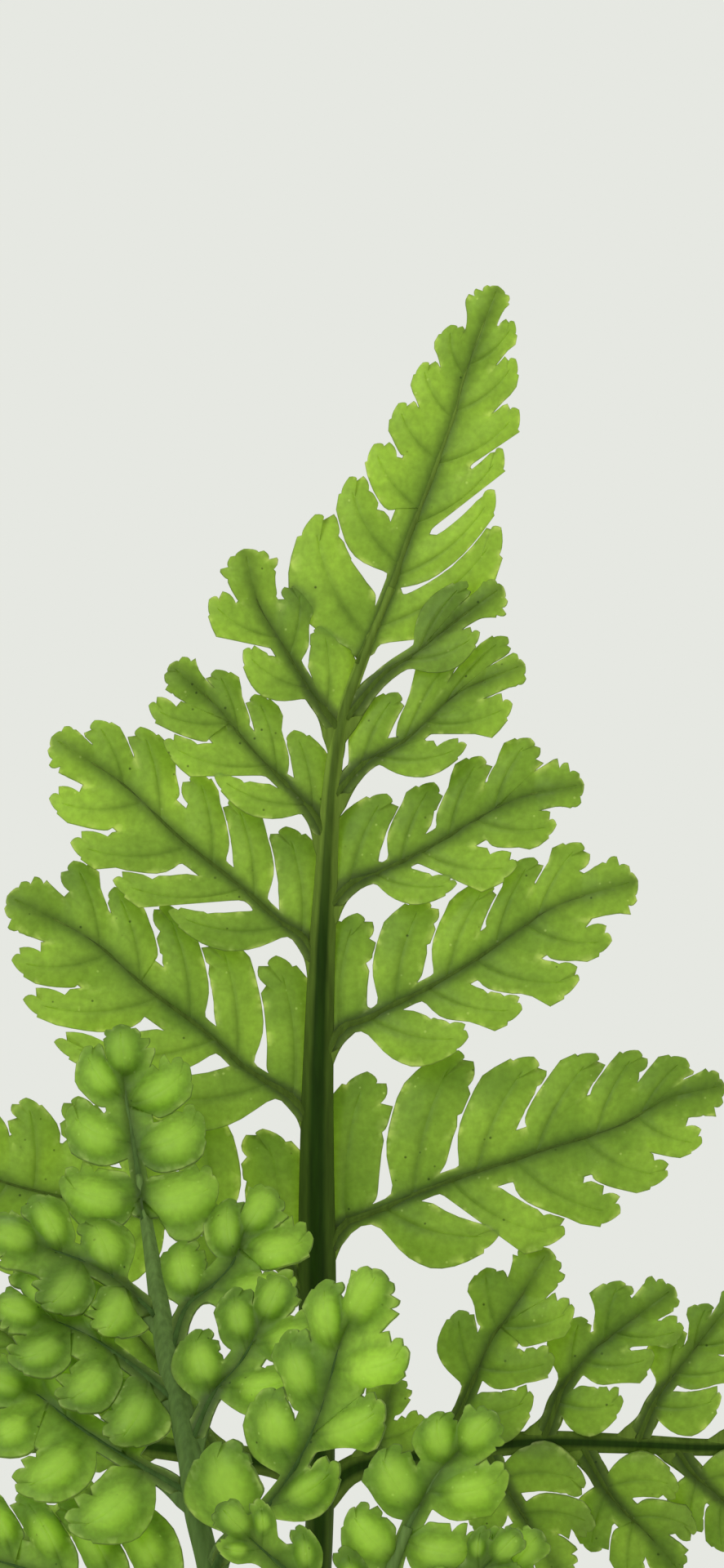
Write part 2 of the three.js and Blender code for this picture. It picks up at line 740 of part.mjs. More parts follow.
// The nearest frond, which is fertile too.
const NEAR_RACHIS = [
  [-2.4, -40],
  [-1, -30],
  [0.5, -20],
  [2.5, -12],
  [4, -6],
  [5, -3.5],
];
const NEAR_PINNAE = [
  pinnaByRule([0.6, -20], 0.35, 18, 4),
  pinnaByRule([0.4, -21], Math.PI - 0.2, 17, 4, { upper: -1 }),
  pinnaByRule([2.3, -13], 0.5, 14, 3),
  pinnaByRule([2.1, -14], Math.PI - 0.3, 13, 3, { upper: -1 }),
  { ...pinnaByRule([2.9, -10.6], 0.45, 11, 3), rise: 0.15 },
  { ...pinnaByRule([3.1, -9.6], Math.PI - 0.45, 12, 3, { upper: -1 }), rise: 0.15 },
];
const NEAR_TOP = {
  path: [[3.6, -7.4], [4.8, -4], [5.5, -2.5], [7, 0], [8.7, 1.8], [10.2, 3.3]],
  left: [
    [0.16, 1.4, -2.4, 1.8],
    [0.42, 3.2, 1.2, 2.15],
    [0.68, 6.8, 3.6, 1.55],
  ],
  right: [
    [0.26, 9.4, -4.8, 1.8],
    [0.52, 11.2, -0.3, 1.9],
  ],
  half: 1.3,
};

// A plan drawn as the eye sees it: a point at depth d in front of the tallest frond draws in towards the eye.
const seen = (depth) => (u, v, w) => {
  const d = depth(u, v) + w;
  const scale = 1 - d / EYE.distance;
  return new THREE.Vector3(EYE.x + (u - EYE.x) * scale, -d, EYE.z + (v + FOOT - EYE.z) * scale);
};

// The tallest frond arches towards the eye at mid height, and its sides sweep back.
const tallPlace = seen((u, v) => 2.5 - 0.0016 * (v - 35) ** 2 - 0.003 * u * u);
const leftPlace = seen((u, v) => 24 - 15 * THREE.MathUtils.smoothstep(v, -6, 27) - 0.1 * Math.max(0, -8 - u));
const nearPlace = seen((u, v) => 38 + 0.05 * v);

// The stipe stands in its socket, and its rachis runs up into the blade and thins.
function stalk(foot, bends, rachis, place, steps) {
  const low = [foot[2], foot[2] + 2].map((z) => space([foot[0], foot[1], z]));
  const points = [...low, ...bends.map(space), ...rachis.map(([u, v]) => place(u, v, 0))];
  return stem(curveThrough(points), (s) => mix(STIPE, 0.3, s ** 1.6), steps, 6);
}

function lowStem(path) {
  const curve = curveThrough(path.map(([u, v]) => tallPlace(u, v, 0)));
  return stem(curve, (s) => mix(0.5, 0.28, s), 10, 5);
}

const STANDS = {
  tall: [-0.5, 1, SOCKET_TOP - SOCKET_DEPTH + SEAT_GAP],
  left: [-2, -24, SOCKET_TOP - SOCKET_DEPTH + SEAT_GAP],
  near: [-2.3, -36, SOCKET_TOP - SOCKET_DEPTH + SEAT_GAP],
};

function tallFrond() {
  const pinnules = [
    ...RIGHT_PINNULES,
    ...pinnaeByRule(LOW_RIGHT, 1, { first: 0.66, count: 3, reach: 12 }),
    ...pinnaeByRule(LOW_RIGHT, -1, { first: 0.73, count: 2, reach: 10 }),
    ...pinnaeByRule(LOW_LEFT, -1, { first: 0.19, count: 5, reach: 12.5 }),
    ...pinnaeByRule(LOW_LEFT, 1, { first: 0.3, last: 0.84, count: 3, reach: 10.5 }),
  ];
  return fused([
    stalk(STANDS.tall, [[-1, 1.5, 24], [-1.2, 0, 44]], TALL_RACHIS, tallPlace, 24),
    lowStem(LOW_RIGHT),
    lowStem(LOW_LEFT),
    ...lay(tallPlace, [...TALL_PINNAE, ...pinnules], 7),
    ...lay(tallPlace, [TALL_TOP], 3, { tilt: 0 }),
  ]);
}

const fertile = (plans) => plans.map((plan) => ({ ...plan, fertile: true }));

function leftFrond() {
  return fused([
    stalk(STANDS.left, [[-2.3, -24, 24]], LEFT_RACHIS, leftPlace, 18),
    ...lay(leftPlace, fertile(LEFT_PINNAE), 11),
    ...lay(leftPlace, fertile([LEFT_TOP]), 5, { tilt: 0 }),
  ]);
}

function nearFrond() {
  return fused([
    stalk(STANDS.near, [[-2.3, -36.4, 18]], NEAR_RACHIS, nearPlace, 14),
    ...lay(nearPlace, fertile(NEAR_PINNAE), 13),
    ...lay(nearPlace, fertile([NEAR_TOP]), 17, { tilt: 0.1 }),
  ]);
}

// A branch of the rhizome. Rows of scales wind round it as a relief, and a growing end tapers to a blunt point.
function branch(points, steps, sides, rooted) {
  const curve = curveThrough(points.map(space));
  const growth = (9 * steps) / curve.getLength();
  return stem(
    curve,
    (s, i, j) => {
      const near = Math.min(rooted ? growth : i, steps - i) / growth;
      const taper = near < 1 ? mix(0.3, 1, Math.sin((near * Math.PI) / 2)) : 1;
      return taper * RHIZOME + ((i + j) % 2 ? RELIEF : -RELIEF) * Math.min(1, near + 0.3);
    },
    steps,
    sides,
  );
}

// Thin roots leave the underside and run out along the surface.
function roots(count, curve) {
  const random = dice(23);
  return Array.from({ length: count }, (_, k) => {
    const start = curve.getPointAt((k + 0.5) / count);
    const ahead = curve.getTangentAt((k + 0.5) / count);
    const side = new THREE.Vector3(-ahead.y, ahead.x, 0).multiplyScalar(k % 2 ? 1 : -1);
    side.addScaledVector(ahead, random() - 0.5).normalize();
    const reach = mix(8, 13, random());
    const points = [0.1, 0.5, 0.75, 1].map((s) => start.clone().addScaledVector(side, reach * s));
    [2.4, 1.4, 0.6, 0.5].forEach((z, i) => (points[i].z = z));
    return stem(curveThrough(points), (s) => mix(ROOT, 0.25, s), 4, 3);
  });
}

const MAIN = [
  [-37, 9, 3.4],
  [-31, 8, 3.1],
  [-20, 2, 4.2],
  [-9, -1, 3.8],
  [0, 0, 3.1],
  [11, 3, 4],
  [22, -1, 4.2],
  [31, -6, 3.1],
  [37, -7, 3.4],
];
const FRONT = [
  [-1, 1, 3.3],
  [-3, -12, 4],
  [-2, -24, 3.5],
  [-2.3, -36, 3.4],
  [-0.5, -43, 3.1],
  [1.5, -49, 3.4],
];
const BACK = [
  [8, 1, 3.8],
  [10, 12, 4.2],
  [15, 22, 3.1],
  [18, 28, 3.4],
];

function rhizome() {
  const line = (x, y, low, high) => new THREE.LineCurve3(new THREE.Vector3(x, y, low), new THREE.Vector3(x, y, high));
  const stands = Object.values(STANDS);
  const collars = stands.map(([x, y]) => stem(line(x, y, 4, SOCKET_TOP), (s) => mix(COLLAR + 0.5, COLLAR, s), 1, 8));
  const holes = stands.map(([x, y]) =>
    stem(line(x, y, SOCKET_TOP - SOCKET_DEPTH, SOCKET_TOP + 1), () => SOCKET, 1, 8),
  );
  const below = new THREE.BoxGeometry(200, 200, 20).translate(0, 0, -10);
  const grown = fused([
    branch(MAIN, 26, 8, false),
    branch(FRONT, 16, 8, true),
    branch(BACK, 10, 8, true),
    ...roots(7, curveThrough(MAIN.map(space))),
    ...roots(3, curveThrough(FRONT.slice(1).map(space))),
    ...collars,
  ]);
  return grown.subtract(fused(holes)).subtract(solidFrom(below));
}

const fern = new THREE.Group();
fern.add(meshOf("rhizome", SCALE_BROWN, rhizome()));
fern.add(meshOf("frond_tall", LEAF_GREEN, tallFrond()));
fern.add(meshOf("frond_left", FERTILE_GREEN, leftFrond()));
fern.add(meshOf("frond_near", FERTILE_GREEN, nearFrond()));

export default fern;
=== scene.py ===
# %% [markdown]
# # A bear's foot fern
#
# This script dresses a small fern: three finely cut fronds that stand on a creeping rhizome. The solids come
# from model.glb, and they fix every size and place. Here each of them is replaced by a finer piece with the
# finish of the real plant. The plan of every frond is drawn flat, u to the right and v upwards in
# millimetres, and is then laid on a curved surface, so each leaflet sits where its solid is.

# %% Load the imported model as a fixed frame
import math
from functools import partial

import bpy
import numpy as np
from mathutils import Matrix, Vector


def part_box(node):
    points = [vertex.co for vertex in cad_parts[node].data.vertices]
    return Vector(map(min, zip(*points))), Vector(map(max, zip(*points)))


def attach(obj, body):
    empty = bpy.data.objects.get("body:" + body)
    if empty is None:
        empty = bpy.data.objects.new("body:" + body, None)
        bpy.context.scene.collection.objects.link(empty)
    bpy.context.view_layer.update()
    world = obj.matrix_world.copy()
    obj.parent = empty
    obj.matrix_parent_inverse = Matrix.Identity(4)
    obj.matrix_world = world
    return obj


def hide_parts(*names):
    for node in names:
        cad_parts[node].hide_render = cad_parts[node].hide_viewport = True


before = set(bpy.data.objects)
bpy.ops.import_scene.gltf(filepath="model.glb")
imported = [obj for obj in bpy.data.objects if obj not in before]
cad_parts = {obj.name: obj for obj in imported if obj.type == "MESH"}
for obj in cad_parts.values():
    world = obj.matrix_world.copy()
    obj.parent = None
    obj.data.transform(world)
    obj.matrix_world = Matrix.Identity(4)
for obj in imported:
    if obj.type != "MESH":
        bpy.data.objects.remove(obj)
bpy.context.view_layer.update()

MM = 0.001
solids = {name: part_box(name)[1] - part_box(name)[0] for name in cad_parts}
print("solids, in mm:", {name: [round(x / MM, 1) for x in size] for name, size in solids.items()})

# %% [markdown]
# ## The camera
#
# The photograph looks level at the fronds from close by, with a long lens. A camera that stands 400 mm away
# with a 150 mm lens on a 36 mm sensor sees 96 mm from top to bottom at the tallest frond. It comes first,
# because the plans of the fronds are drawn as they look from here.

# %% Place the camera
EYE_X, EYE_Z, EYE_DISTANCE = 2.175, 104.0, 400.0  # where it stands, in mm, with the tallest frond at y = 0
FOCAL_LENGTH, SENSOR = 150, 36  # in mm; the sensor's longer side is upright here

lens = bpy.data.cameras.new("camera")
lens.lens = FOCAL_LENGTH
lens.sensor_width = SENSOR
lens.clip_start = 0.01
lens.clip_end = 20
camera = bpy.data.objects.new("camera", lens)
camera.location = (EYE_X * MM, -EYE_DISTANCE * MM, EYE_Z * MM)
camera.rotation_euler = (math.pi / 2, 0, 0)
bpy.context.scene.collection.objects.link(camera)
bpy.context.scene.camera = camera
print("camera sees", EYE_DISTANCE * SENSOR / FOCAL_LENGTH, "mm from top to bottom at the tallest frond")

# %% [markdown]
# ## Curves
#
# Ribs, stems and the rhizome all follow smooth curves through a few points. The centripetal Catmull-Rom
# curve goes through every point and makes no loops where two points lie close together, so a plan can be
# drawn by hand.


# %% A smooth curve through points
def unit(vectors):
    """The same directions with a length of 1."""
    return vectors / np.linalg.norm(vectors, axis=-1, keepdims=True)


class Curve:
    """A centripetal Catmull-Rom curve, kept as a dense polyline. A share runs from 0 to 1 along its
    length."""

    def __init__(self, points, fine=24):
        p = np.asarray(points, float)
        p = np.vstack([2 * p[0] - p[1], p, 2 * p[-1] - p[-2]])
        gap = np.linalg.norm(np.diff(p, axis=0), axis=1) ** 0.5
        a, b, c, d = (p[i : len(p) - 3 + i, None] for i in range(4))
        g0, g1, g2 = (gap[i : len(gap) - 2 + i, None, None] for i in range(3))
        leave = ((b - a) / g0 - (c - a) / (g0 + g1) + (c - b) / g1) * g1
        arrive = ((c - b) / g1 - (d - b) / (g1 + g2) + (d - c) / g2) * g1
        t = np.linspace(0, 1, fine, endpoint=False)[None, :, None]
        bend, twist = 3 * (c - b) - 2 * leave - arrive, 2 * (b - c) + leave + arrive
        run = b + leave * t + bend * t**2 + twist * t**3
        self.line = np.vstack([run.reshape(-1, p.shape[1]), p[-2]])
        steps = np.linalg.norm(np.diff(self.line, axis=0), axis=1)
        self.far = np.concatenate([[0], np.cumsum(steps)])
        self.length = self.far[-1]

    def at(self, share):
        """The points at these shares of the length."""
        far = np.asarray(share, float) * self.length
        return np.stack([np.interp(far, self.far, column) for column in self.line.T], axis=-1)

    def heading(self, share):
        """The unit direction of travel at these shares."""
        share, step = np.asarray(share, float), 0.004
        return unit(self.at(np.minimum(share + step, 1)) - self.at(np.maximum(share - step, 0)))


def smoothstep(x, low, high):
    """0 below low, 1 above high, and an S between them."""
    t = np.clip((np.asarray(x, float) - low) / (high - low), 0, 1)
    return t * t * (3 - 2 * t)


def mix(a, b, share):
    """The value a share of the way from a to b."""
    return a + (b - a) * share


def dice(seed):
    """Seeded random numbers from 0 to 1, the same ones that the solids were made with."""
    while True:
        seed = (seed * 1664525 + 1013904223) % 4294967296
        yield seed / 4294967296


# %% [markdown]
# ## Meshes from arrays
#
# Every piece is a surface worked out with numpy as a whole array of points. Small helpers turn such arrays
# into Blender meshes. One joins up the rows of a grid, one closes a tube at both ends, and one writes
# points, faces and values at the points into a mesh.


# %% Faces of a grid and of a tube
def grid_faces(rows, columns, closed=False):
    """Quads between neighbouring points of a rows by columns grid, whose columns may close into a ring."""
    i, j = np.meshgrid(np.arange(rows - 1), np.arange(columns if closed else columns - 1), indexing="ij")
    k = (j + 1) % columns
    quads = np.stack([i * columns + j, i * columns + k, (i + 1) * columns + k, (i + 1) * columns + j], -1)
    return quads.reshape(-1, 4)


def angles(sides):
    """The angles of evenly spaced points round a ring."""
    return np.arange(sides) / sides * 2 * math.pi


def fan_faces(centre, ring, turn=1):
    """Triangles between one point and a closed ring of points. A turn of -1 makes them face the other
    way."""
    after = np.roll(ring, -1)
    return np.stack([np.full(len(ring), centre), *(ring, after)[::turn]], -1)


def tube_faces(rows, sides):
    """Triangles of a closed tube. Its points are all the rings and then the middle of either end."""
    quads = grid_faces(rows, sides, closed=True)
    ring = np.arange(sides)
    last = rows * sides
    caps = [fan_faces(last, ring, -1), fan_faces(last + 1, last - sides + ring)]
    return np.concatenate([quads[:, [0, 1, 2]], quads[:, [0, 2, 3]], *caps])


# %% A mesh from arrays
def piece(name, points, faces, finish, node, slot, **values):
    """A mesh object from points in millimetres, a list of face arrays and named values at the points. It
    rides on the plant and stands for a solid, which it hides. Its slot is not used."""
    mesh = bpy.data.meshes.new(name)
    mesh.vertices.add(len(points))
    mesh.vertices.foreach_set("co", (np.asarray(points, np.float32) * MM).ravel())
    sizes = np.concatenate([np.full(len(f), f.shape[1]) for f in faces])
    mesh.loops.add(int(sizes.sum()))
    mesh.loops.foreach_set("vertex_index", np.concatenate([f.ravel() for f in faces]).astype(np.int32))
    mesh.polygons.add(len(sizes))
    mesh.polygons.foreach_set("loop_start", np.concatenate([[0], np.cumsum(sizes)[:-1]]).astype(np.int32))
    mesh.update(calc_edges=True)
    for key, value in values.items():
        layer = mesh.attributes.new(key, "FLOAT", "POINT")
        layer.data.foreach_set("value", np.asarray(value, np.float32).ravel())
    mesh.polygons.foreach_set("use_smooth", np.ones(len(sizes), bool))
    mesh.materials.append(finish)
    made = bpy.data.objects.new(name, mesh)
    bpy.context.scene.collection.objects.link(made)
    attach(made, "root")
    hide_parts(node)
    print(f"{name}: {len(points)} points, {int((sizes - 2).sum())} triangles")


# %% [markdown]
# ## Node helpers
#
# Colours are written as sRGB hex values, as a colour picker shows them, and one function turns them into
# the linear values that Blender works with. One more function adds a shader node with its settings and
# links. It gives back an output of the node, ready to be the input of the next.


# %% Colours and nodes
def colour(hex_code):
    """Linear red, green, blue and alpha of an sRGB hex colour."""
    channels = np.array([int(hex_code[i : i + 2], 16) for i in (1, 3, 5)]) / 255
    linear = np.where(channels <= 0.04045, channels / 12.92, ((channels + 0.055) / 1.055) ** 2.4)
    return (*linear.tolist(), 1.0)


RGBA = {"output": 2, "data_type": "RGBA"}  # for a mix of two colours
TIMES = {"operation": "MULTIPLY"}


def add_node(tree, kind, inputs=(), output=0, **settings):
    """Adds a node and gives one of its outputs. inputs holds what goes into its sockets, in their order or
    by name or number: a value, or another node's output."""
    node = tree.nodes.new("ShaderNode" + kind)
    for key, value in settings.items():
        setattr(node, key, value)
    for key, value in inputs.items() if isinstance(inputs, dict) else enumerate(inputs):
        if isinstance(value, bpy.types.NodeSocket):
            tree.links.new(value, node.inputs[key])
        else:
            node.inputs[key].default_value = value
    return node.outputs[output] if len(node.outputs) else None


def new_finish(name):
    """An empty node material, and add_node for its tree."""
    made = bpy.data.materials.new(name)
    made.use_nodes = True
    made.node_tree.nodes.clear()
    return made, partial(add_node, made.node_tree)


# %% [markdown]
# ## The plans of the fronds
#
# A frond has a rachis, pinnae on both sides of it and a tapering top. Each pinna is a rib with leaflets on
# both sides. A leaflet is written as its share of the rib's length, the place of its tip and half its
# width, all read from the photograph. What grows past the picture's edges follows a rule instead.


# %% Leaflets and pinnae by rule
END_LENGTH = 2.3  # length of the leaflet at a pinna's end, in half widths


def leaflets_by_rule(path, half, n, side, reach, lean=0.95, first=0.13):
    """n leaflets on one side of a rib. They get shorter towards its tip and lean forward."""
    rib = Curve(path)
    last = 0.9 * (1 - END_LENGTH * half / rib.length)
    leaflets = []
    for k in range(n):
        t = mix(first, last, k / (n - 1)) if n > 1 else mix(first, last, 0.3)
        length = reach * (1 - 0.45 * t)
        ahead = rib.heading(t)
        turn = math.atan2(ahead[1], ahead[0]) + side * lean * (1 - 0.25 * t)
        u, v = rib.at(t)
        leaflets.append([t, u + math.cos(turn) * length, v + math.sin(turn) * length, length * 0.25])
    return leaflets


def pinna_by_rule(node, angle, length, n, upper=1, rise=0.0):
    """A pinna from its node, with its angle from the u axis, its length, and n leaflets on its upper
    side."""
    u, v = node
    reach = length * 0.38
    half = min(max(reach * 0.24, 0.7), 1.3)
    turns = [(length * s, angle + 0.2 * upper * s) for s in (0, 0.35, 0.7, 1)]
    path = [[u + math.cos(turn) * far, v + math.sin(turn) * far] for far, turn in turns]
    high = leaflets_by_rule(path, half, n, upper, reach)
    low = leaflets_by_rule(path, half, max(1, n - 1), -upper, reach * 0.9, 0.8, 0.22)
    left, right = (high, low) if upper > 0 else (low, high)
    return {"path": path, "half": half, "upper": upper, "left": left, "right": right, "rise": rise}


def pinnae_by_rule(path, side, first, count, reach, last=0.9):
    """Pinnae on one side of a stem, shorter towards its tip."""
    stem = Curve(path)
    plans = []
    for k in range(count):
        t = mix(first, last, k / max(1, count - 1))
        ahead = stem.heading(t)
        angle = math.atan2(ahead[1], ahead[0]) + side
        length = reach * math.sqrt(1.12 - t)
        plans.append(pinna_by_rule(stem.at(t), angle, length, 3 if length > 8 else 2, -side))
    return plans


# %% The tallest frond
TALL_RACHIS = [[-0.4, -2], [-0.5, 5], [-0.6, 17], [-0.5, 25], [-0.1, 35], [0.75, 45], [2.35, 50], [4, 54]]
TALL_PINNAE = [
    {
        "path": [
            [-0.3, 12.6], [1, 15], [3, 15.8], [7, 17.5], [10, 18.5], [14, 19.8], [18, 21.1], [21, 22.8],
            [24.1, 23.5],
        ],
        "left": [
            [0.11, 2.5, 24.4, 2.25], [0.27, 8.1, 25.7, 2.25], [0.42, 12.7, 25.3, 2.05],
            [0.56, 16.5, 25.5, 1.8], [0.7, 19.1, 25.7, 1.6], [0.81, 22, 25.2, 1.5],
        ],
        "right": [
            [0.2, 10.6, 14.4, 1.95], [0.36, 14.6, 14.4, 1.95], [0.51, 18, 15.7, 1.85],
            [0.67, 20.9, 18, 1.6], [0.8, 23, 20, 1.35],
        ],
        "half": 1.4,
    },
    {
        "path": [
            [-0.2, 25.2], [1, 27.1], [2.5, 27.6], [4, 28.4], [7.5, 30.2], [11, 32.5], [14, 34.5],
            [18.8, 36],
        ],
        "left": [
            [0.09, 1.9, 34.1, 1.85], [0.26, 6, 35, 1.8], [0.42, 10, 36, 1.6], [0.58, 12.7, 37.5, 1.6],
            [0.72, 15.6, 38.4, 1.45],
        ],
        "right": [
            [0.18, 8.7, 26.5, 1.6], [0.36, 12, 28.2, 1.5], [0.51, 15.5, 30, 1.8], [0.68, 17.5, 32.4, 1.45],
        ],
        "half": 1.5,
    },
    {
        "path": [[-0.1, 34.2], [1.5, 35.9], [3.5, 36.7], [6.5, 38.2], [9.5, 40], [12, 41.2], [15.5, 41.9]],
        "left": [
            [0.13, 3.7, 41.4, 1.75], [0.32, 6.6, 42.1, 1.4], [0.51, 9.5, 43.7, 1.5],
            [0.69, 12.5, 44.8, 1.5],
        ],
        "right": [[0.22, 8, 35.9, 0.95], [0.4, 11.7, 37, 1.4], [0.62, 14.1, 39.5, 1.35]], "half": 1.25,
    },
    {
        "path": [[0.4, 41.2], [2.5, 43.4], [4, 44.1], [5.5, 45.2], [8, 47.5], [11.9, 49.2]],
        "left": [[0.18, 4.4, 47.6, 1.35], [0.4, 8.9, 51.1, 1.5], [0.64, 11.1, 51, 1.1]],
        "right": [[0.26, 8.6, 44.4, 0.95], [0.52, 11.4, 46.9, 1.35]], "half": 1.15,
    },
    {
        "path": [[1.2, 46], [3.5, 48.7], [5.5, 50], [8, 52], [10.6, 53.9]],
        "left": [[0.5, 8.6, 54.4, 0.95]], "right": [[0.42, 9.4, 51.3, 0.95]], "half": 1.1, "rise": 0.12,
    },
    {
        "path": [[0.9, 45.2], [-0.5, 47], [-1.7, 48.8], [-3, 51], [-4.2, 53], [-5, 56.1]],
        "left": [[0.26, -5.1, 50.2, 1.2], [0.55, -7.2, 53.3, 1.4]],
        "right": [[0.12, -0.3, 51.7, 1.6], [0.45, -1.7, 54.2, 1.5]], "half": 1.4,
    },
    {
        "path": [
            [0.1, 38.5], [-0.8, 40.2], [-2.5, 42], [-4, 43.5], [-5.5, 45.2], [-6.8, 46.8], [-9.4, 49.1],
        ],
        "left": [[0.18, -6.9, 42.6, 0.95], [0.42, -10, 44.6, 1.2], [0.66, -10.9, 46.8, 1.2]],
        "right": [[0.14, -2, 45.3, 1.4], [0.36, -4.4, 47.5, 1.3], [0.6, -6.8, 49, 1.3]], "half": 1.2,
    },
    {
        "path": [
            [-0.3, 30.4], [-1.3, 32.5], [-3, 33.7], [-5, 35.5], [-9, 38.7], [-12.5, 42], [-16.6, 44.7],
        ],
        "left": [
            [0.17, -9.7, 34.2, 1.1], [0.33, -13.1, 36.1, 1.3], [0.52, -15.7, 38.4, 1.4],
            [0.7, -17, 41.1, 1.35],
        ],
        "right": [
            [0.12, -2.5, 39.4, 1.95], [0.29, -5.7, 41.2, 1.5], [0.44, -8, 42.7, 1.45],
            [0.63, -11.4, 45.5, 1.45], [0.77, -14.2, 45.9, 1.3],
        ],
        "half": 1.25,
    },
    {
        "path": [[-0.5, 20.7], [-2, 22.7], [-5, 24.6], [-7, 26.5], [-11, 29.5], [-14.5, 32.5], [-19.3, 35]],
        "left": [
            [0.18, -12.5, 23.5, 1.75], [0.36, -16.7, 26.2, 1.4], [0.54, -18.6, 28.8, 1.4],
            [0.71, -19.3, 31.2, 1.35],
        ],
        "right": [
            [0.11, -3.1, 31.5, 2.05], [0.28, -6.7, 32.7, 1.95], [0.44, -10, 34.7, 1.5],
            [0.6, -13, 35.7, 1.4], [0.74, -15.5, 37.3, 1.45],
        ],
        "half": 1.4,
    },
    {
        "path": [[-0.5, 9.6], [-3, 13], [-7.5, 15], [-12.5, 16.1], [-16.5, 16.8], [-20, 17.7], [-25.5, 20]],
        "left": [
            [0.27, -10, 10.6, 1.85], [0.44, -15, 11.8, 1.75], [0.61, -20, 12.2, 1.75],
            [0.77, -23.5, 14.5, 1.4],
        ],
        "right": [
            [0.15, -3.9, 20.9, 2.45], [0.32, -8.2, 22.7, 2.05], [0.46, -11.9, 22.6, 1.85],
            [0.59, -15.2, 22.9, 1.75], [0.71, -18.4, 22.8, 1.6], [0.82, -21.5, 22.6, 1.4],
        ],
        "half": 1.3,
    },
]
TALL_TOP = {
    "path": [
        [2, 49.3], [4, 54], [5, 57], [6, 59.5], [6.9, 62], [7.8, 64.5], [8.3, 66.5], [9, 68.5],
        [10.4, 72.2],
    ],
    "left": [
        [0.07, -0.7, 58.5, 2.3], [0.27, 1.4, 60.8, 1.6], [0.42, 2.9, 62.8, 1.45], [0.55, 4.4, 65.3, 1.4],
        [0.66, 5.9, 67.8, 1.3], [0.77, 7.6, 70.1, 1.2],
    ],
    "right": [
        [0.1, 10.7, 57.7, 1.9], [0.24, 10.3, 60, 1.45], [0.38, 10.8, 62.5, 1.5], [0.54, 11.8, 64.9, 1.45],
        [0.68, 11.6, 68, 1.2], [0.8, 11.5, 70.3, 0.95],
    ],
    "half": 1, "joined": 0.36, "upper": 0,
}
print("tallest frond:", len(TALL_PINNAE), "pinnae")

# %% The lowest pinnae of the tallest frond, which are divided again
LOW_RIGHT = [[-0.4, -2], [1.5, 0], [6, 0.9], [12.5, 1.7], [18.6, 1.6], [24.4, 1.4], [32, 2.2], [38, 3.6]]
LOW_LEFT = [[-0.8 - u, v] for u, v in LOW_RIGHT]
RIGHT_PINNULES = [
    {"path": [[2.6, 0.2], [3.2, 2.5], [4.2, 5.6]], "right": [[0.3, 6, 3.2, 1.1]], "half": 0.95},
    {
        "path": [[7.1, 0.9], [8.1, 3.2], [9.5, 6.7], [10.2, 8.2], [11.4, 9.8], [13.5, 13.3]],
        "left": [[0.36, 8.1, 9.8, 1.45], [0.6, 9.8, 12.4, 1.45]],
        "right": [[0.2, 12.7, 4.5, 1.7], [0.42, 14, 6.8, 1.55], [0.62, 15.2, 9.9, 1.55]], "half": 1.3,
    },
    {
        "path": [[13.2, 1.6], [13.8, 3.2], [14.5, 5], [16.2, 7.2], [18.2, 8.8], [21.1, 11]],
        "left": [[0.36, 15.6, 9.4, 1.45], [0.6, 18, 11.6, 1.55]],
        "right": [[0.22, 18.2, 4.2, 1.55], [0.45, 20.1, 7, 1.55], [0.66, 21.9, 8.7, 1.3]], "half": 1.2,
    },
    {
        "path": [[19, 1.6], [19.8, 3.5], [20.5, 4.8], [22.2, 7], [25, 10.5]],
        "left": [[0.4, 21.7, 8.6, 1.45], [0.63, 23.4, 10.2, 1.3]],
        "right": [[0.24, 24.2, 4.5, 1.55], [0.46, 25.7, 6.8, 1.45], [0.66, 26.5, 9, 1.2]], "half": 1.1,
    },
    {
        "path": [[9.9, 1.1], [11.1, -1.2], [12.7, -3.8], [14.5, -6.6]], "upper": -1,
        "left": [[0.2, 15.9, -0.8, 1.7], [0.48, 16.5, -3.4, 1.3]],
        "right": [[0.28, 9.3, -4, 1.45], [0.55, 11.6, -6.5, 1.3]], "half": 1.1,
    },
    {
        "path": [[15.7, 1.4], [17.6, -1.8], [19.6, -3.8], [21.5, -6]], "upper": -1,
        "left": [[0.3, 21.6, -1, 1.55], [0.55, 22.7, -3.7, 1.3]],
        "right": [[0.32, 16.2, -5, 1.45], [0.58, 18.5, -6.7, 1.2]], "half": 1.1,
    },
    {
        "path": [[21.4, 1.4], [22.5, -0.2], [24.3, -1.8], [26.7, -4]], "upper": -1,
        "left": [[0.34, 27, -0.7, 1.45]], "right": [[0.3, 22.2, -3.9, 1.3], [0.56, 24.3, -5, 1.2]],
        "half": 1,
    },
]
print("lower right pinna:", len(RIGHT_PINNULES), "pinnules read from the photograph")

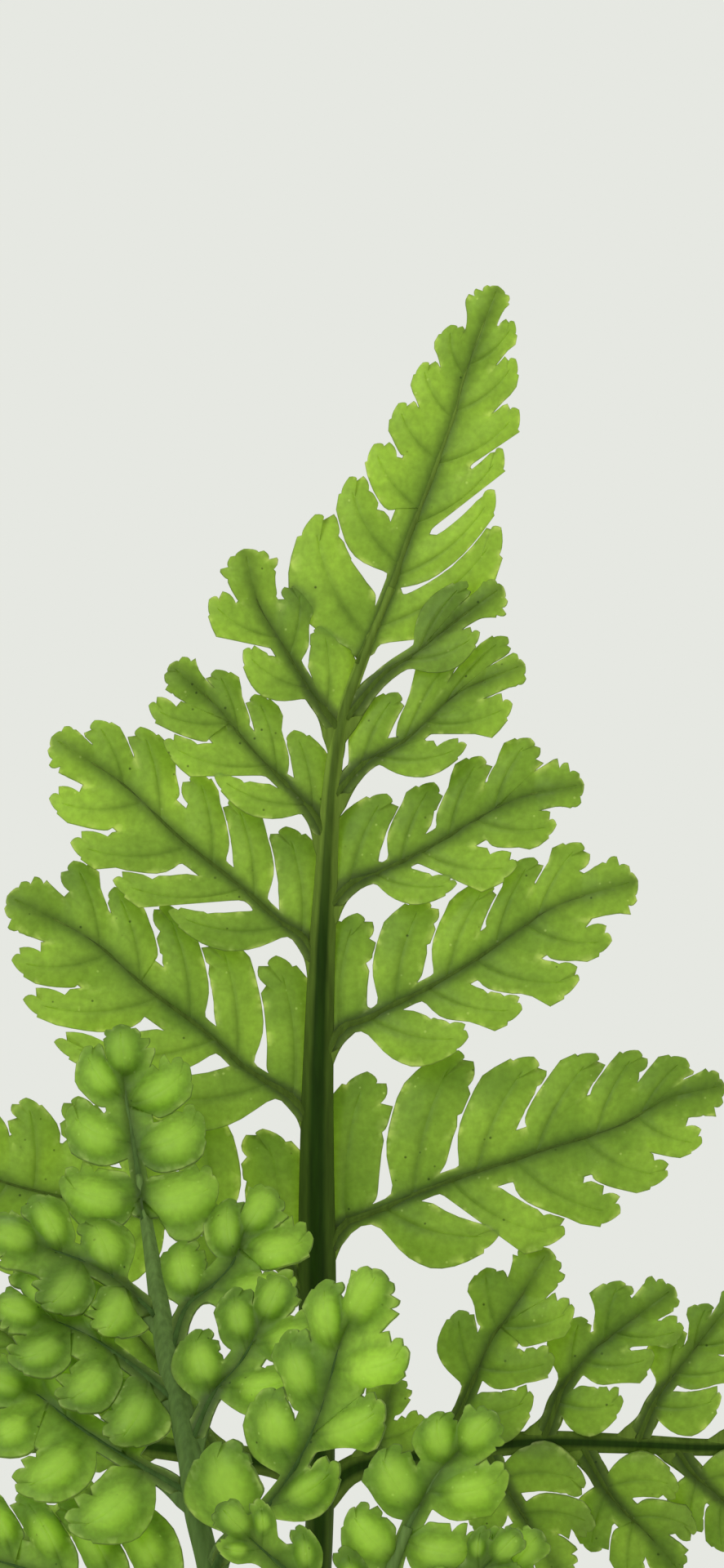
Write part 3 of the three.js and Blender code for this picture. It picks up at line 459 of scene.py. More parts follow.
# %% The fertile frond on the left
LEFT_RACHIS = [
    [-3.3, -25], [-5, -19], [-6.3, -12], [-7.2, -6], [-8, -2.5], [-8.4, 1], [-9.7, 7], [-10.3, 10.5],
    [-11, 15], [-11.5, 18],
]
LEFT_PINNAE = [
    {
        "path": [[-10.5, 9.4], [-13.5, 12], [-17, 13.5], [-20.5, 14.7]],
        "left": [[0.22, -13.7, 8.2, 1.8], [0.5, -17.3, 9.8, 1.8]],
        "right": [[0.3, -14.5, 15.4, 1.7], [0.6, -18, 16.8, 1.45]], "half": 1.3, "rise": 0.2,
    },
    {
        "path": [[-9.4, 4.3], [-11.7, 6.2], [-14.3, 8], [-16.5, 9], [-20, 10.2]], "rise": 0.05,
        "left": [[0.16, -13, 1.5, 1.9], [0.38, -16.3, 3.9, 1.7], [0.62, -19.5, 6.6, 1.55]],
        "right": [[0.45, -15.6, 12, 1.45], [0.7, -19, 12.6, 1.3]], "half": 1.2,
    },
    {
        "path": [[-8.5, -1.4], [-12.4, 0.8], [-15.6, 2.9], [-17.8, 4.6], [-21, 5.8]], "rise": -0.1,
        "left": [[0.2, -15.7, -3.8, 2.05], [0.48, -19, -1.3, 1.8], [0.7, -21.7, 1.6, 1.45]],
        "right": [[0.3, -12.6, 5.6, 1.55], [0.6, -17, 8, 1.45]], "half": 1.2,
    },
    {
        "path": [[-9.5, 7.2], [-8.5, 10], [-7, 11.2], [-5.8, 12.5], [-5, 14.5], [-3.4, 17]],
        "left": [[0.3, -9, 14, 1.7], [0.6, -6, 16.6, 1.45]],
        "right": [[0.4, -1.8, 11.6, 1.55], [0.66, -0.8, 14.2, 1.8]], "half": 1.3, "rise": 0.1,
    },
    {
        "path": [[-8.3, 1.6], [-6.8, 4.8], [-5.5, 6.2], [-4.5, 7.8], [-2.7, 11.6]],
        "left": [[0.28, -8, 8.6, 1.7], [0.58, -5.6, 11.2, 1.45]],
        "right": [[0.34, -1.6, 5.8, 1.55], [0.62, -0.4, 9.2, 1.45]], "half": 1.2, "rise": 0.3,
    },
    {
        "path": [
            [-7.1, -6.6], [-6, -4.5], [-3, -1.5], [-1.7, 0.5], [-0.7, 2.5], [0, 4.5], [1, 8], [3.2, 12],
        ],
        "left": [
            [0.18, -6.9, 1.7, 2.4], [0.4, -3.8, 5, 1.9], [0.57, -2.3, 8.6, 1.8], [0.74, 0, 11.7, 1.55],
        ],
        "right": [[0.26, 0.8, 0.4, 1.45], [0.5, 3.6, 4, 1.9], [0.7, 5.1, 7.2, 1.9]], "half": 1.5,
        "rise": 0.75, "pale": 0.1,
    },
    pinna_by_rule([-7, -8], math.pi - 0.05, 20, 5, upper=-1, rise=-0.25),
]
LEFT_TOP = {
    "path": [[-11.1, 15.3], [-11.5, 18], [-11.9, 20.5], [-12.3, 23], [-12.6, 27]],
    "left": [[0.12, -16.4, 17.6, 1.9], [0.4, -15.9, 22, 1.9], [0.62, -14.8, 25.9, 1.45]],
    "right": [[0.1, -6.6, 17.5, 2.3], [0.36, -7.5, 21.6, 2.05], [0.6, -8.4, 24.8, 1.7]], "half": 1.3,
    "joined": 0.5, "upper": 0,
}
print("left frond:", len(LEFT_PINNAE), "pinnae")

# %% The nearest frond
NEAR_RACHIS = [[-2.4, -40], [-1, -30], [0.5, -20], [2.5, -12], [4, -6], [5, -3.5]]
NEAR_PINNAE = [
    pinna_by_rule([0.6, -20], 0.35, 18, 4), pinna_by_rule([0.4, -21], math.pi - 0.2, 17, 4, upper=-1),
    pinna_by_rule([2.3, -13], 0.5, 14, 3), pinna_by_rule([2.1, -14], math.pi - 0.3, 13, 3, upper=-1),
    pinna_by_rule([2.9, -10.6], 0.45, 11, 3, rise=0.15),
    pinna_by_rule([3.1, -9.6], math.pi - 0.45, 12, 3, upper=-1, rise=0.15),
]
NEAR_TOP = {
    "path": [[3.6, -7.4], [4.8, -4], [5.5, -2.5], [7, 0], [8.7, 1.8], [10.2, 3.3]],
    "left": [[0.16, 1.4, -2.4, 1.8], [0.42, 3.2, 1.2, 2.15], [0.68, 6.8, 3.6, 1.55]],
    "right": [[0.26, 9.4, -4.8, 1.8], [0.52, 11.2, -0.3, 1.9]], "half": 1.3,
}
print("nearest frond:", len(NEAR_PINNAE), "pinnae")


# %% [markdown]
# ## The curved surfaces that the plans lie on
#
# The tallest frond stands farthest away and arches towards the eye at mid height. The fertile frond on the
# left leans back as it rises, and the nearest frond is almost upright. A point at depth d in front of the
# tallest frond is drawn in towards the eye, so that the plan still covers the same place in the picture.


# %% From a flat plan to its place in space
FOOT = 62.0  # height at which v is 0


def seen(depth):
    """The place of plan points u, v that stand w in front of a surface whose depth is a function of u and
    v."""

    def place(u, v, w):
        d = depth(u, v) + w
        scale = 1 - d / EYE_DISTANCE
        return np.stack([EYE_X + (u - EYE_X) * scale, -d, EYE_Z + (v + FOOT - EYE_Z) * scale], axis=-1)

    return place


tall_place = seen(lambda u, v: 2.5 - 0.0016 * (v - 35) ** 2 - 0.003 * u * u)
left_place = seen(lambda u, v: 24 - 15 * smoothstep(v, -6, 27) - 0.1 * np.maximum(0, -8 - u))
near_place = seen(lambda u, v: 38 + 0.05 * v)


def upper_side(plan):
    """The upper side of a pinna: 1 if it is the left one, as seen from the pinna's foot, and -1 if the
    right one."""
    return plan.get("upper", np.sign(plan["path"][-1][0] - plan["path"][0][0]))


def pinna_surface(plan, place, tilt):
    """The surface of one pinna. It turns about its own chord: leaflets on the upper side go back and those
    on the lower side come forward, so that neighbouring pinnae pass each other, and the whole pinna rises
    with its length."""
    node = np.asarray(plan["path"][0], float)
    chord = np.asarray(plan["path"][-1], float) - node
    chord /= np.linalg.norm(chord)
    upper, rise = upper_side(plan), plan["lift"]

    def at(uv, raised=0.0):
        way = uv - node
        off = (chord[0] * way[..., 1] - chord[1] * way[..., 0]) * upper
        far = np.maximum(0, way @ chord)
        return place(uv[..., 0], uv[..., 1], raised + rise * far - tilt * off * np.minimum(1, far / 2))

    return at


def normals_of(at, uv, step=0.05):
    """Unit normals of a surface at plan points, towards the eye, from its two partial differences."""
    du = at(uv + [step, 0], 0.0) - at(uv - [step, 0], 0.0)
    dv = at(uv + [0, step], 0.0) - at(uv - [0, step], 0.0)
    return unit(np.cross(du, dv))


# %% [markdown]
# ## Leaflets
#
# A leaflet of this fern leaves the rib as a narrow wedge, is widest before its middle and ends bluntly. The
# margin towards the pinna's foot bulges and is nearly smooth. The margin towards the pinna's tip comes down
# in steps, and every step is a tooth. The leaflet at a pinna's end has teeth on both sides. Every point of
# the margin hangs from a point of the midvein a little behind it, and the blade is stretched between the
# two. So its lines slant forward as the real side veins do, and the veins can follow the mesh.


# %% Measures of a leaflet
WIDEST = 0.44  # where a leaflet is widest, as a share of its length
NECK = 0.42  # width of its base, as a share of its widest width
WIDE_LEAF = 1.45  # half width from which a leaflet has one more tooth, in mm
POINT = 0.018  # how far a tooth points forward, as a share of the leaflet's length
SHAKE = 0.04  # range in which a tooth moves at random, as a share of the leaflet's length
WING = 0.5  # green that runs along a rib between two leaflets, in mm
SLIT = 0.08  # clear width between neighbouring leaflets, in mm
WEDGE = np.linspace(0, 1, 9, endpoint=False)  # places along the margin before its first tooth
TOOTH = np.array([0.12, 0.24, 0.42, 0.64, 0.84, 1])  # places along a tooth, as shares of its length
MIDVEIN = np.linspace(0, 1, 11)  # places along a midvein

# For a leaflet on a pinna's upper side, on its lower side and at its end: how far the midvein bows towards
# the pinna's foot, how full the leaflet is on its foot side and on its tip side, and whether its tip gets
# painted shade for bending back.
UPPER = {"bow": 0.06, "foot": 1.1, "tip": 1.3, "turned": 1.0}
LOWER = {"bow": 0.1, "foot": 1.15, "tip": 1.2, "turned": 0.0}
EVEN = {"bow": 0.0, "foot": 1.3, "tip": 1.3, "turned": 0.0}

# For a margin: where its teeth are, as shares of the leaflet's length, how deep they are cut, how late it
# swells to its full width and how bluntly it ends.
FOOT_SIDE = {"teeth": [0.88], "depth": 0.15, "swell": 0.75, "blunt": 1.9}
TIP_SIDE = {"teeth": [0.66, 0.9], "depth": 0.34, "swell": 1.1, "blunt": 2.8}
WIDE_TIP_SIDE = {**TIP_SIDE, "teeth": [0.58, 0.77, 0.93]}
END_FOOT_SIDE = {"teeth": [0.5, 0.7, 0.88], "depth": 0.24, "swell": 0.6, "blunt": 1.9}
END_TIP_SIDE = {"teeth": [0.55, 0.75, 0.91], "depth": 0.26, "swell": 0.6, "blunt": 1.9}
print("teeth of a wide leaflet at these shares of its length:", FOOT_SIDE["teeth"] + WIDE_TIP_SIDE["teeth"])


# %% The outline of one leaflet
def half_width(s, margin):
    """Width on one side of the midvein, without teeth: a quarter sine to a power up to the widest place,
    then an arch that falls to 0 at the tip, later and steeper where it is blunt."""
    rising = NECK + (1 - NECK) * np.sin(np.minimum(s / WIDEST, 1) * math.pi / 2) ** margin["swell"]
    fall = np.clip((s - WIDEST) / (1 - WIDEST), 0, 1)
    return rising * (1 - fall ** margin["blunt"]) ** 0.7


def toothed(margin, random):
    """One side of a leaflet, from its base to its tip, as places along and across the midvein, and where a
    side vein ends. Past each tooth's tip the margin drops by a depth and arches back out to the next, which
    points forward. The last is the leaflet's own."""
    tips = [place + SHAKE * (next(random) - 0.5) for place in margin["teeth"]] + [1]
    s, q, vein = [WEDGE * tips[0]], [half_width(WEDGE * tips[0], margin)], [np.zeros(len(WEDGE))]
    vein[0][6] = 0.6
    for low, high in zip(tips, tips[1:]):
        along = low + (high - low) * TOOTH
        width = half_width(low, margin)
        drop = margin["depth"] * (0.8 + 0.4 * next(random)) * (1 - TOOTH) ** 1.7 * (0.35 + width)
        last = high == 1
        forward = 0 if last else POINT * TOOTH**6
        arch = width * (1 - TOOTH**1.5) ** 0.9 if last else half_width(along, margin)
        s += [[low + POINT], along + forward]
        q += [[width], arch - drop]
        vein += [[0], np.where(np.arange(len(TOOTH)) == 3, 1.0, 0)]
    return (np.concatenate(part) for part in (s, q, vein))


def behind(s):
    """Where on the midvein points of a margin hang: behind them, and each at least as far out as the one
    before."""
    return np.maximum.accumulate(s * (0.5 + 0.34 * s))


def leaflet(rib, side, row, random, kind):
    """One leaflet as arrays along its margin, from the side of the pinna's foot round the tip and back. s
    runs along the midvein from 0 to 1, and q across it in half widths, below 0 towards the pinna's foot."""
    t, u, v, half = row
    base = rib.at(t)
    tip = np.array([u, v], float)
    length = np.linalg.norm(tip - base)
    axis = (tip - base) / length
    across = np.array([axis[1], -axis[0]]) * side
    tip_side = WIDE_TIP_SIDE if half > WIDE_LEAF else TIP_SIDE
    foot_side, tip_side = (END_FOOT_SIDE, END_TIP_SIDE) if kind is EVEN else (FOOT_SIDE, tip_side)
    foot_s, foot_q, foot_vein = toothed(foot_side, random)
    tip_s, tip_q, tip_vein = (part[:-1] for part in toothed(tip_side, random))
    s = np.concatenate([foot_s, tip_s[::-1]])
    q = np.concatenate([-kind["foot"] * foot_q, kind["tip"] * tip_q[::-1]])

    def place(s, q):
        bow = -kind["bow"] * length * 4 * s * (1 - s)
        return base + np.multiply.outer(s * length, axis) + np.multiply.outer(bow + q * half, across)

    hang = np.concatenate([behind(foot_s), behind(tip_s)[::-1]])
    return {
        "t": t,
        "base": base,
        "axis": axis,
        "across": across,
        "half": half,
        "bow": kind["bow"] * length,
        "turned": kind["turned"],
        "length": length,
        "far": s * length,
        "q": q,
        "hang": place(hang, np.zeros(len(s))),
        "point": place(s, q),
        "midvein": place(MIDVEIN, np.zeros(len(MIDVEIN))),
        "vein": np.concatenate([foot_vein, tip_vein[::-1]]),
        "smooth": np.where(s < 0.4, 1.0, 0.0),
        "lost": np.zeros(len(s), bool),
        "chance": [next(random) for _ in range(4)],
    }


# %% [markdown]
# ## One sheet for each pinna
#
# A pinna isn't a row of loose leaves. Its leaflets are joined by a narrow wing along the rib, and towards
# its end they grow together. So the whole pinna is one ribbon between two lines: the skeleton of rib and
# midveins, and the margin. The ribbon is walked once round, out along the right side, round the leaflet at
# the end and back along the left side. Where two leaflets would touch, the margin is drawn in until a slit
# stays clear.


# %% Keep neighbouring leaflets apart
def gap_to(points, line):
    """Distance of points from a polyline: the least distance from its segments."""
    a, b = line[:-1], line[1:]
    run = b - a
    way = points[..., None, :] - a
    share = np.clip((way * run).sum(-1) / (run * run).sum(-1), 0, 1)
    return np.linalg.norm(way - share[..., None] * run, axis=-1).min(-1)


def trim(leaf, neighbours):
    """Draws each point of the margin in towards the midvein until it is nearer to its own midvein than to a
    neighbour's, by the slit."""
    shares = np.linspace(1, 0.08, 47)
    tries = leaf["hang"][:, None] + shares[None, :, None] * (leaf["point"] - leaf["hang"])[:, None]
    own = gap_to(tries, leaf["midvein"]) + SLIT / 2
    other = np.min([gap_to(tries, line) for line in neighbours], axis=0)
    clear = own <= other
    best = np.where(clear.any(1), clear.argmax(1), len(shares) - 1)
    leaf["point"] = tries[np.arange(len(best)), best]
    leaf["lost"] = ~clear.any(1) | (best > 0.6 * len(shares))


def halfway(point, way, first, second):
    """The point beside this one, at right angles to a direction, that is as far from one line as from the
    other."""
    tries = point + np.linspace(-1.2, 1.2, 97)[:, None] * np.array([-way[1], way[0]])
    return tries[np.abs(gap_to(tries, first) - gap_to(tries, second)).argmin()]


def settle(leaf, side, corner, rib):
    """Draws the margin straight from the corner between leaflet and wing to its first point that is clear
    of both. The rib is the stretch of it that has leaflets."""
    depth = gap_to(corner, rib)
    outward = np.flatnonzero(np.sign(leaf["q"]) == side)
    outward = outward[::-1] if side > 0 else outward
    held = leaf["lost"] | (gap_to(leaf["point"], rib) < depth + 0.1)
    held = np.flatnonzero(held[outward] & (leaf["far"][outward] < 0.8 * leaf["length"]))
    if len(held):
        count = held.max() + 1
        share = np.arange(count) / count
        goal = leaf["point"][outward[min(count, len(outward) - 1)]]
        leaf["point"][outward[:count]] = mix(corner, goal, share[:, None])


# %% Walk round a pinna
STATION = ("hang", "point", "vein", "smooth")  # what a station of the ribbon holds


def stations_along(plan, random):
    """The leaflets of a pinna, trimmed to pass each other: its rib, the one at its end, and those on either
    side."""
    rib = Curve(plan["path"])
    tip_share = 1 - END_LENGTH * plan["half"] / rib.length
    end = [tip_share, *(rib.at(1) + rib.heading(1) * 0.3), 1.2 * plan["half"]]
    tip = leaflet(rib, -1, end, random, EVEN)
    rows = {-1: plan.get("right", []), 1: plan.get("left", [])}
    for side, row in rows.items():
        kind = UPPER if side == upper_side(plan) else LOWER
        rows[side] = [leaflet(rib, side, place, random, kind) for place in row]
    for row in rows.values():
        for k, leaf in enumerate(row):
            near = row[max(0, k - 1) : k] + (row[k + 1 : k + 2] or [tip])
            trim(leaf, [other["midvein"] for other in near])
    if rows[-1] or rows[1]:
        trim(tip, [row[-1]["midvein"] for row in rows.values() if row])
    return rib, tip, rows, tip_share


def walk_round(plan, random):
    """The stations of a pinna's ribbon in order: the point each hangs from, its point on the margin, and
    its values."""
    rib, tip, rows, tip_share = stations_along(plan, random)
    joined = plan.get("joined", 0.5)
    bases = [leaf["t"] for row in rows.values() for leaf in row]
    stops = np.unique(np.round(np.concatenate([[0, tip_share], bases, np.linspace(0, tip_share, 14)]), 4))
    leafy = rib.at(np.linspace(0, tip_share, 40))

    def outward(share, side):
        ahead = rib.heading(share)
        return np.stack([-ahead[..., 1] * side, ahead[..., 0] * side], axis=-1)

    def fan(low, high, edge):
        """Stations along the rib, which all look at one edge."""
        shares = stops[(stops >= low - 1e-6) & (stops <= high + 1e-6)]
        zero = np.zeros(len(shares))
        return {"hang": rib.at(shares), "point": edge(shares), "vein": zero, "smooth": zero + 1}

    def foot_of(leaf, side, way):
        """Where a leaflet's margin leaves the edge of the wing: its share of the rib, from the slant of its
        axis."""
        forward = float(leaf["axis"] @ rib.heading(leaf["t"]))
        out = max(0.35, float(leaf["axis"] @ outward(leaf["t"], side)))
        return leaf["t"] + ((WING * forward + way * NECK * leaf["half"]) / out + way * 0.2) / rib.length

    def wing_edge(low, high, side):
        """The edge of the wing at shares of the rib, held between two of them."""
        low, high = (low, high) if low < high else ((low + high) / 2, (low + high) / 2)

        def edge(at):
            held = np.clip(at, low, high)
            width = WING * (1 + 1.1 * np.exp(-held * rib.length / 0.7))
            return rib.at(held) + outward(held, side) * width[:, None]

        return edge

    def grown_edge(before, leaf, side):
        """The same between two leaflets. Towards the pinna's tip they grow together, and it goes out to a
        pole."""
        cut = mix(before["t"], leaf["t"], 0.55)
        grown = float(smoothstep(cut, joined - 0.2, joined + 0.25))
        wing = wing_edge(foot_of(before, side, 1), foot_of(leaf, side, -1), side)
        way = before["axis"] + leaf["axis"]
        way /= np.linalg.norm(way)
        reach = 0.62 * min(before["length"], leaf["length"])
        pole = halfway(rib.at(cut) + way * reach, way, before["midvein"], leaf["midvein"])
        return lambda at: mix(wing(at), pole, grown)

    def walk(side):
        """The stations of one side, from the pinna's foot to the leaflet at its end."""
        row, stations = rows[side], []
        for k, leaf in enumerate(row + [tip]):
            if k:
                before = row[k - 1]
                edge = grown_edge(before, leaf, side)
                end, start = edge(np.array([before["t"], leaf["t"]]))
                settle(before, 1, end, leafy)
                stations.append(fan(before["t"], leaf["t"], edge))
            else:
                edge = wing_edge(0, foot_of(leaf, side, -1), side)
                stations.append(fan(0, leaf["t"], edge))
                start = edge(np.array([leaf["t"]]))[0]
            settle(leaf, 1 if leaf is tip and side > 0 else -1, start, leafy)
            if leaf is not tip:
                stations.append(leaf)
        return stations

    right, left = walk(-1), walk(1)
    back = [{key: part[key][::-1] for key in STATION} for part in left[::-1]]
    ribbon = {key: np.concatenate([part[key] for part in [*right, tip, *back]]) for key in STATION}
    return rib, [tip, *rows[-1], *rows[1]], ribbon


# %% [markdown]
# ## From the ribbon to a blade
#
# Between skeleton and margin the ribbon gets rings of points, close together at both ends, where veins and
# rim need them. Then the blade gets its form: every leaflet is a shallow dome with a groove along its
# midvein, and its end curls a little at random. A fertile leaflet stands up in a round pouch, because a cup
# of spores grows under it. All of this is a function of the place in the plan alone, so neighbouring
# leaflets meet without a step. Last, the surface is doubled to a thin closed wall.

# %% Rings across the ribbon
WALL = 0.3  # thickness of the blade beside the rib, in mm
RIM = 0.16  # and at its margin
DOME = 0.42  # height of a plain leaflet's arch
POUCH = 1.15  # height of a fertile leaflet's pouch
RINGS = np.array([0, 0.05, 0.13, 0.27, 0.45, 0.63, 0.79, 0.91, 0.97, 1])


def rings_of(ribbon):
    """Plan points between skeleton and margin, on the straight line from one to the other. Where the margin
    has no teeth it is smoothed first."""
    hang, edge = ribbon["hang"], ribbon["point"]
    for _ in range(2):
        even = (np.roll(edge, 1, 0) + 2 * edge + np.roll(edge, -1, 0)) / 4
        edge = mix(edge, even, ribbon["smooth"][:, None])
    r = RINGS[None, :, None]
    return hang[:, None] * (1 - r) + edge[:, None] * r


def local(leaf, uv):
    """A plan point in a leaflet's own measures: s along the midvein and q across it, in half widths."""
    way = uv - leaf["base"]
    s = way @ leaf["axis"] / leaf["length"]
    return s, (way @ leaf["across"] + leaf["bow"] * 4 * s * (1 - s)) / leaf["half"]


def form_of(leaves, uv, fertile):
    """Height, pouch, darkness and strength of the veins at plan points. A dome falls off with s and q, and
    the highest one wins softly. The others are averages over the leaflets, weighted by how near each midvein
    is. Leaflets on the upper side of a pinna bend back and get painted shade towards their tips, a fertile
    leaflet gets a ring of painted shade round its pouch, and low pinnae are darker than high ones."""
    height, pouch, weight, curl, tone_and_shade, fade = (np.zeros(uv.shape[:-1]) for _ in range(6))
    for leaf in leaves:
        s, q = local(leaf, uv)
        size = min(1, leaf["half"] / 1.5)
        near = np.exp(-2.5 * q * q) * smoothstep(s, -0.15, 0.25) * (1 - smoothstep(s, 1.1, 1.5)) + 1e-6
        a, b, c, d = leaf["chance"]
        if fertile:
            long = (s - 0.52) * leaf["length"] / leaf["half"] / (1.1 + 0.3 * a)
            span = np.hypot(long, q * 1.22 + 0.25 * (b - 0.5))
            bulge = np.clip(1 - (span / 0.95) ** 2, 0, 1) ** 1.05
            height += (POUCH * size * (0.85 + 0.3 * a) * bulge) ** 4
            # the mask for the painted highlight in the middle of each pouch
            pouch += (1 - smoothstep(span, 0.25, 0.9)) ** 4
            # painted shade: a darker ring round the foot of each pouch
            tone_and_shade += near * 0.3 * np.exp(-(((span - 0.92) / 0.2) ** 2))
        dome = DOME * size * np.clip(1 - q * q, 0, 1) * smoothstep(s, 0, 0.45)
        height += (dome * (1 - smoothstep(s, 0.6, 1.25))) ** 4
        bend = (c - 0.5) * 0.09 * leaf["length"] * np.clip(s, 0, 1.1) ** 2
        twist = (b - 0.5) * 0.3 * q * smoothstep(s, 0.1, 0.6)
        curl += near * (bend + twist) * size
        # painted shade: leaflets that bend back are painted darker towards their tips
        turned = 0.35 * leaf["turned"] * smoothstep(s, 0.2, 0.9)
        tone_and_shade += near * (0.25 * d + 0.15 * np.clip(1 - s, 0, 1) + turned)
        fade += near * (1 - smoothstep(s, 0.25, 0.95))
        weight += near
    # darker towards the bottom of the plant
    lower_darkening = 0.25 * (1 - smoothstep(uv[..., 1], 5, 60))
    return height**0.25 + curl / weight, pouch**0.25, tone_and_shade / weight + lower_darkening, fade / weight


# %% The blade of one pinna
def sheet_faces(uv):
    """The triangles of a sheet with two faces and a rim, and which stations are real points. Stations that
    share a place are one point of the mesh, so that the sheet closes along its skeleton. Quads are cut
    along their shorter diagonal."""
    stations, rings = uv.shape[:2]
    flat = uv.reshape(-1, 2)
    keys = np.round(flat * 2000).astype(np.int64)
    _, first, same = np.unique(keys[:, 0] * 10**7 + keys[:, 1], return_index=True, return_inverse=True)
    count = len(first)
    index = np.arange(stations * rings).reshape(stations, rings)
    after = np.roll(index, -1, 0)
    a, b, c, d = index[:, :-1], index[:, 1:], after[:, 1:], after[:, :-1]
    short = np.linalg.norm(flat[a] - flat[c], axis=-1) <= np.linalg.norm(flat[b] - flat[d], axis=-1)
    one = np.where(short[..., None], np.stack([a, b, c], -1), np.stack([a, b, d], -1))
    two = np.where(short[..., None], np.stack([a, c, d], -1), np.stack([b, c, d], -1))
    top = same[np.concatenate([one.reshape(-1, 3), two.reshape(-1, 3)])]
    edge, next_edge = same[index[:, -1]], same[after[:, -1]]
    sides = [[edge, edge + count, next_edge + count], [edge, next_edge + count, next_edge]]
    faces = np.concatenate([top, top[:, ::-1] + count, *(np.stack(side, -1) for side in sides)])
    real = (faces[:, 0] != faces[:, 1]) & (faces[:, 1] != faces[:, 2]) & (faces[:, 2] != faces[:, 0])
    return faces[real], first


def blade(plan, place, random, fertile=False, tilt=0.2):
    """A closed thin sheet over a pinna's ribbon, with its values, and the curve of its rib in space."""
    rib, leaves, ribbon = walk_round(plan, random)
    at = pinna_surface(plan, place, tilt)
    uv = rings_of(ribbon)
    every = np.ones((len(uv), 1))
    height, pouch, tone_and_shade, fade = form_of(leaves, uv, fertile)
    groove = 0.07 * np.clip(1 - RINGS / 0.13, 0, 1) * every
    middle = at(uv, height - groove)
    wall = (mix(WALL, RIM, RINGS**2) / 2)[None, :, None] * normals_of(at, uv)
    gone = np.clip(np.linalg.norm(uv - rib.at(0), axis=-1) / rib.length, 0, 1)
    from_rib = gap_to(uv, rib.line)
    costa = np.exp(-((from_rib / 0.45) ** 2)) * (0.95 - 0.6 * gone)
    midvein = np.exp(-((RINGS / 0.15) ** 2))[None] * fade
    side_veins = ribbon["vein"][:, None] * (0.0 if fertile else 0.2) * (1 - 0.5 * RINGS[None]) * fade
    values = {
        "vein": np.maximum.reduce([costa, 0.36 * midvein, side_veins]),
        "rim": np.clip((RINGS - 0.6) / 0.4, 0, 1) ** 2 * every,
        # painted shade: a broad darkening beside the rib
        "tone_and_shade": tone_and_shade + 0.22 * np.exp(-((from_rib / 1.2) ** 2)) - plan.get("pale", 0),
        "pouch": pouch,
    }
    faces, first = sheet_faces(uv)
    values = {key: np.tile(value.reshape(-1)[first], 2) for key, value in values.items()}
    points = np.concatenate([(middle + wall).reshape(-1, 3)[first], (middle - wall).reshape(-1, 3)[first]])
    shares = np.linspace(0, 1 - 0.35 * END_LENGTH * plan["half"] / rib.length, 26)
    rib_line = rib.at(shares)
    return {"points": points, "faces": faces, **values}, (at(rib_line, 0.02), normals_of(at, rib_line))


def together(parts):
    """Several sets of points, faces and values as one."""
    starts = np.cumsum([0] + [len(part["points"]) for part in parts[:-1]])
    joined = {key: np.concatenate([part[key] for part in parts]) for key in parts[0] if key != "faces"}
    joined["faces"] = np.concatenate([part["faces"] + start for part, start in zip(parts, starts)])
    return joined


# %% [markdown]
# ## Ribs and stems
#
# The rib of a pinna is a dark cord that stands out on both faces of the blade and thins to nothing. The
# rachis is a stouter stem of the same kind, dark in its middle, with a paler green wing on each side. Both
# are a closed section carried along a path: an ellipse whose sides are drawn out to the wings.


# %% A stem along a path
def stem(line, facing, width, height, wing=0.0, sides=14, core=0.6):
    """A closed tube of rings. A ring's point at angle a is width times cos a across and height times sin a
    towards facing. With a wing, the height is raised to a power, so that the sides go thin."""
    n = len(line)
    ahead = unit(np.gradient(line, axis=0))
    facing = unit(facing - (facing * ahead).sum(1, keepdims=True) * ahead)
    across = np.cross(ahead, facing)
    angle = angles(sides)
    width, height, wing = (np.broadcast_to(np.asarray(x, float), n)[:, None] for x in (width, height, wing))
    x = np.cos(angle) * width
    power = 1 + 2.5 * wing
    y = np.sign(np.sin(angle)) * np.abs(np.sin(angle)) ** power * height
    rings = line[:, None] + x[..., None] * across[:, None] + y[..., None] * facing[:, None]
    dark = 1 - smoothstep(np.abs(np.cos(angle))[None] - np.broadcast_to(core, n)[:, None], -0.2, 0.2)
    return {
        "points": np.concatenate([rings.reshape(-1, 3), line[:1], line[-1:]]),
        "faces": tube_faces(n, sides),
        "core": np.concatenate([dark.ravel(), [1, 1]]),
        "along": np.concatenate([np.repeat(np.linspace(0, 1, n), sides), [0, 1]]),
    }


# %% [markdown]
# ## The finish of the blade
#
# A fern blade is leathery, with a low gloss, and light from behind shines through it in a clear yellow
# green. So its shader is two fifths a Principled surface and three fifths a Translucent one. The green is
# mottled by cell groups under half a millimetre wide, with a few pale and a few dark flecks. Veins are a
# deep green. The green is darkened by painted shade beside the ribs, towards the tips of leaflets that
# bend back and round each pouch. Pale patches along the margin are a painted highlight, and the middles
# of the pouches, which are inflated and thin, get a painted highlight too, lighter than the sheet round them.


# %% Leathery fern blade
CELLS, PATCHES, SPECKS, RIM_HIGHLIGHT_PATCHES = 0.42 * MM, 3.2 * MM, 0.8 * MM, 0.9 * MM  # sizes of the blade's patterns
THROUGH = 0.6  # share of the surface that lets light through
DARK_FLECK, RIM_OLIVE = "#1E2A0C", "#5C6844"


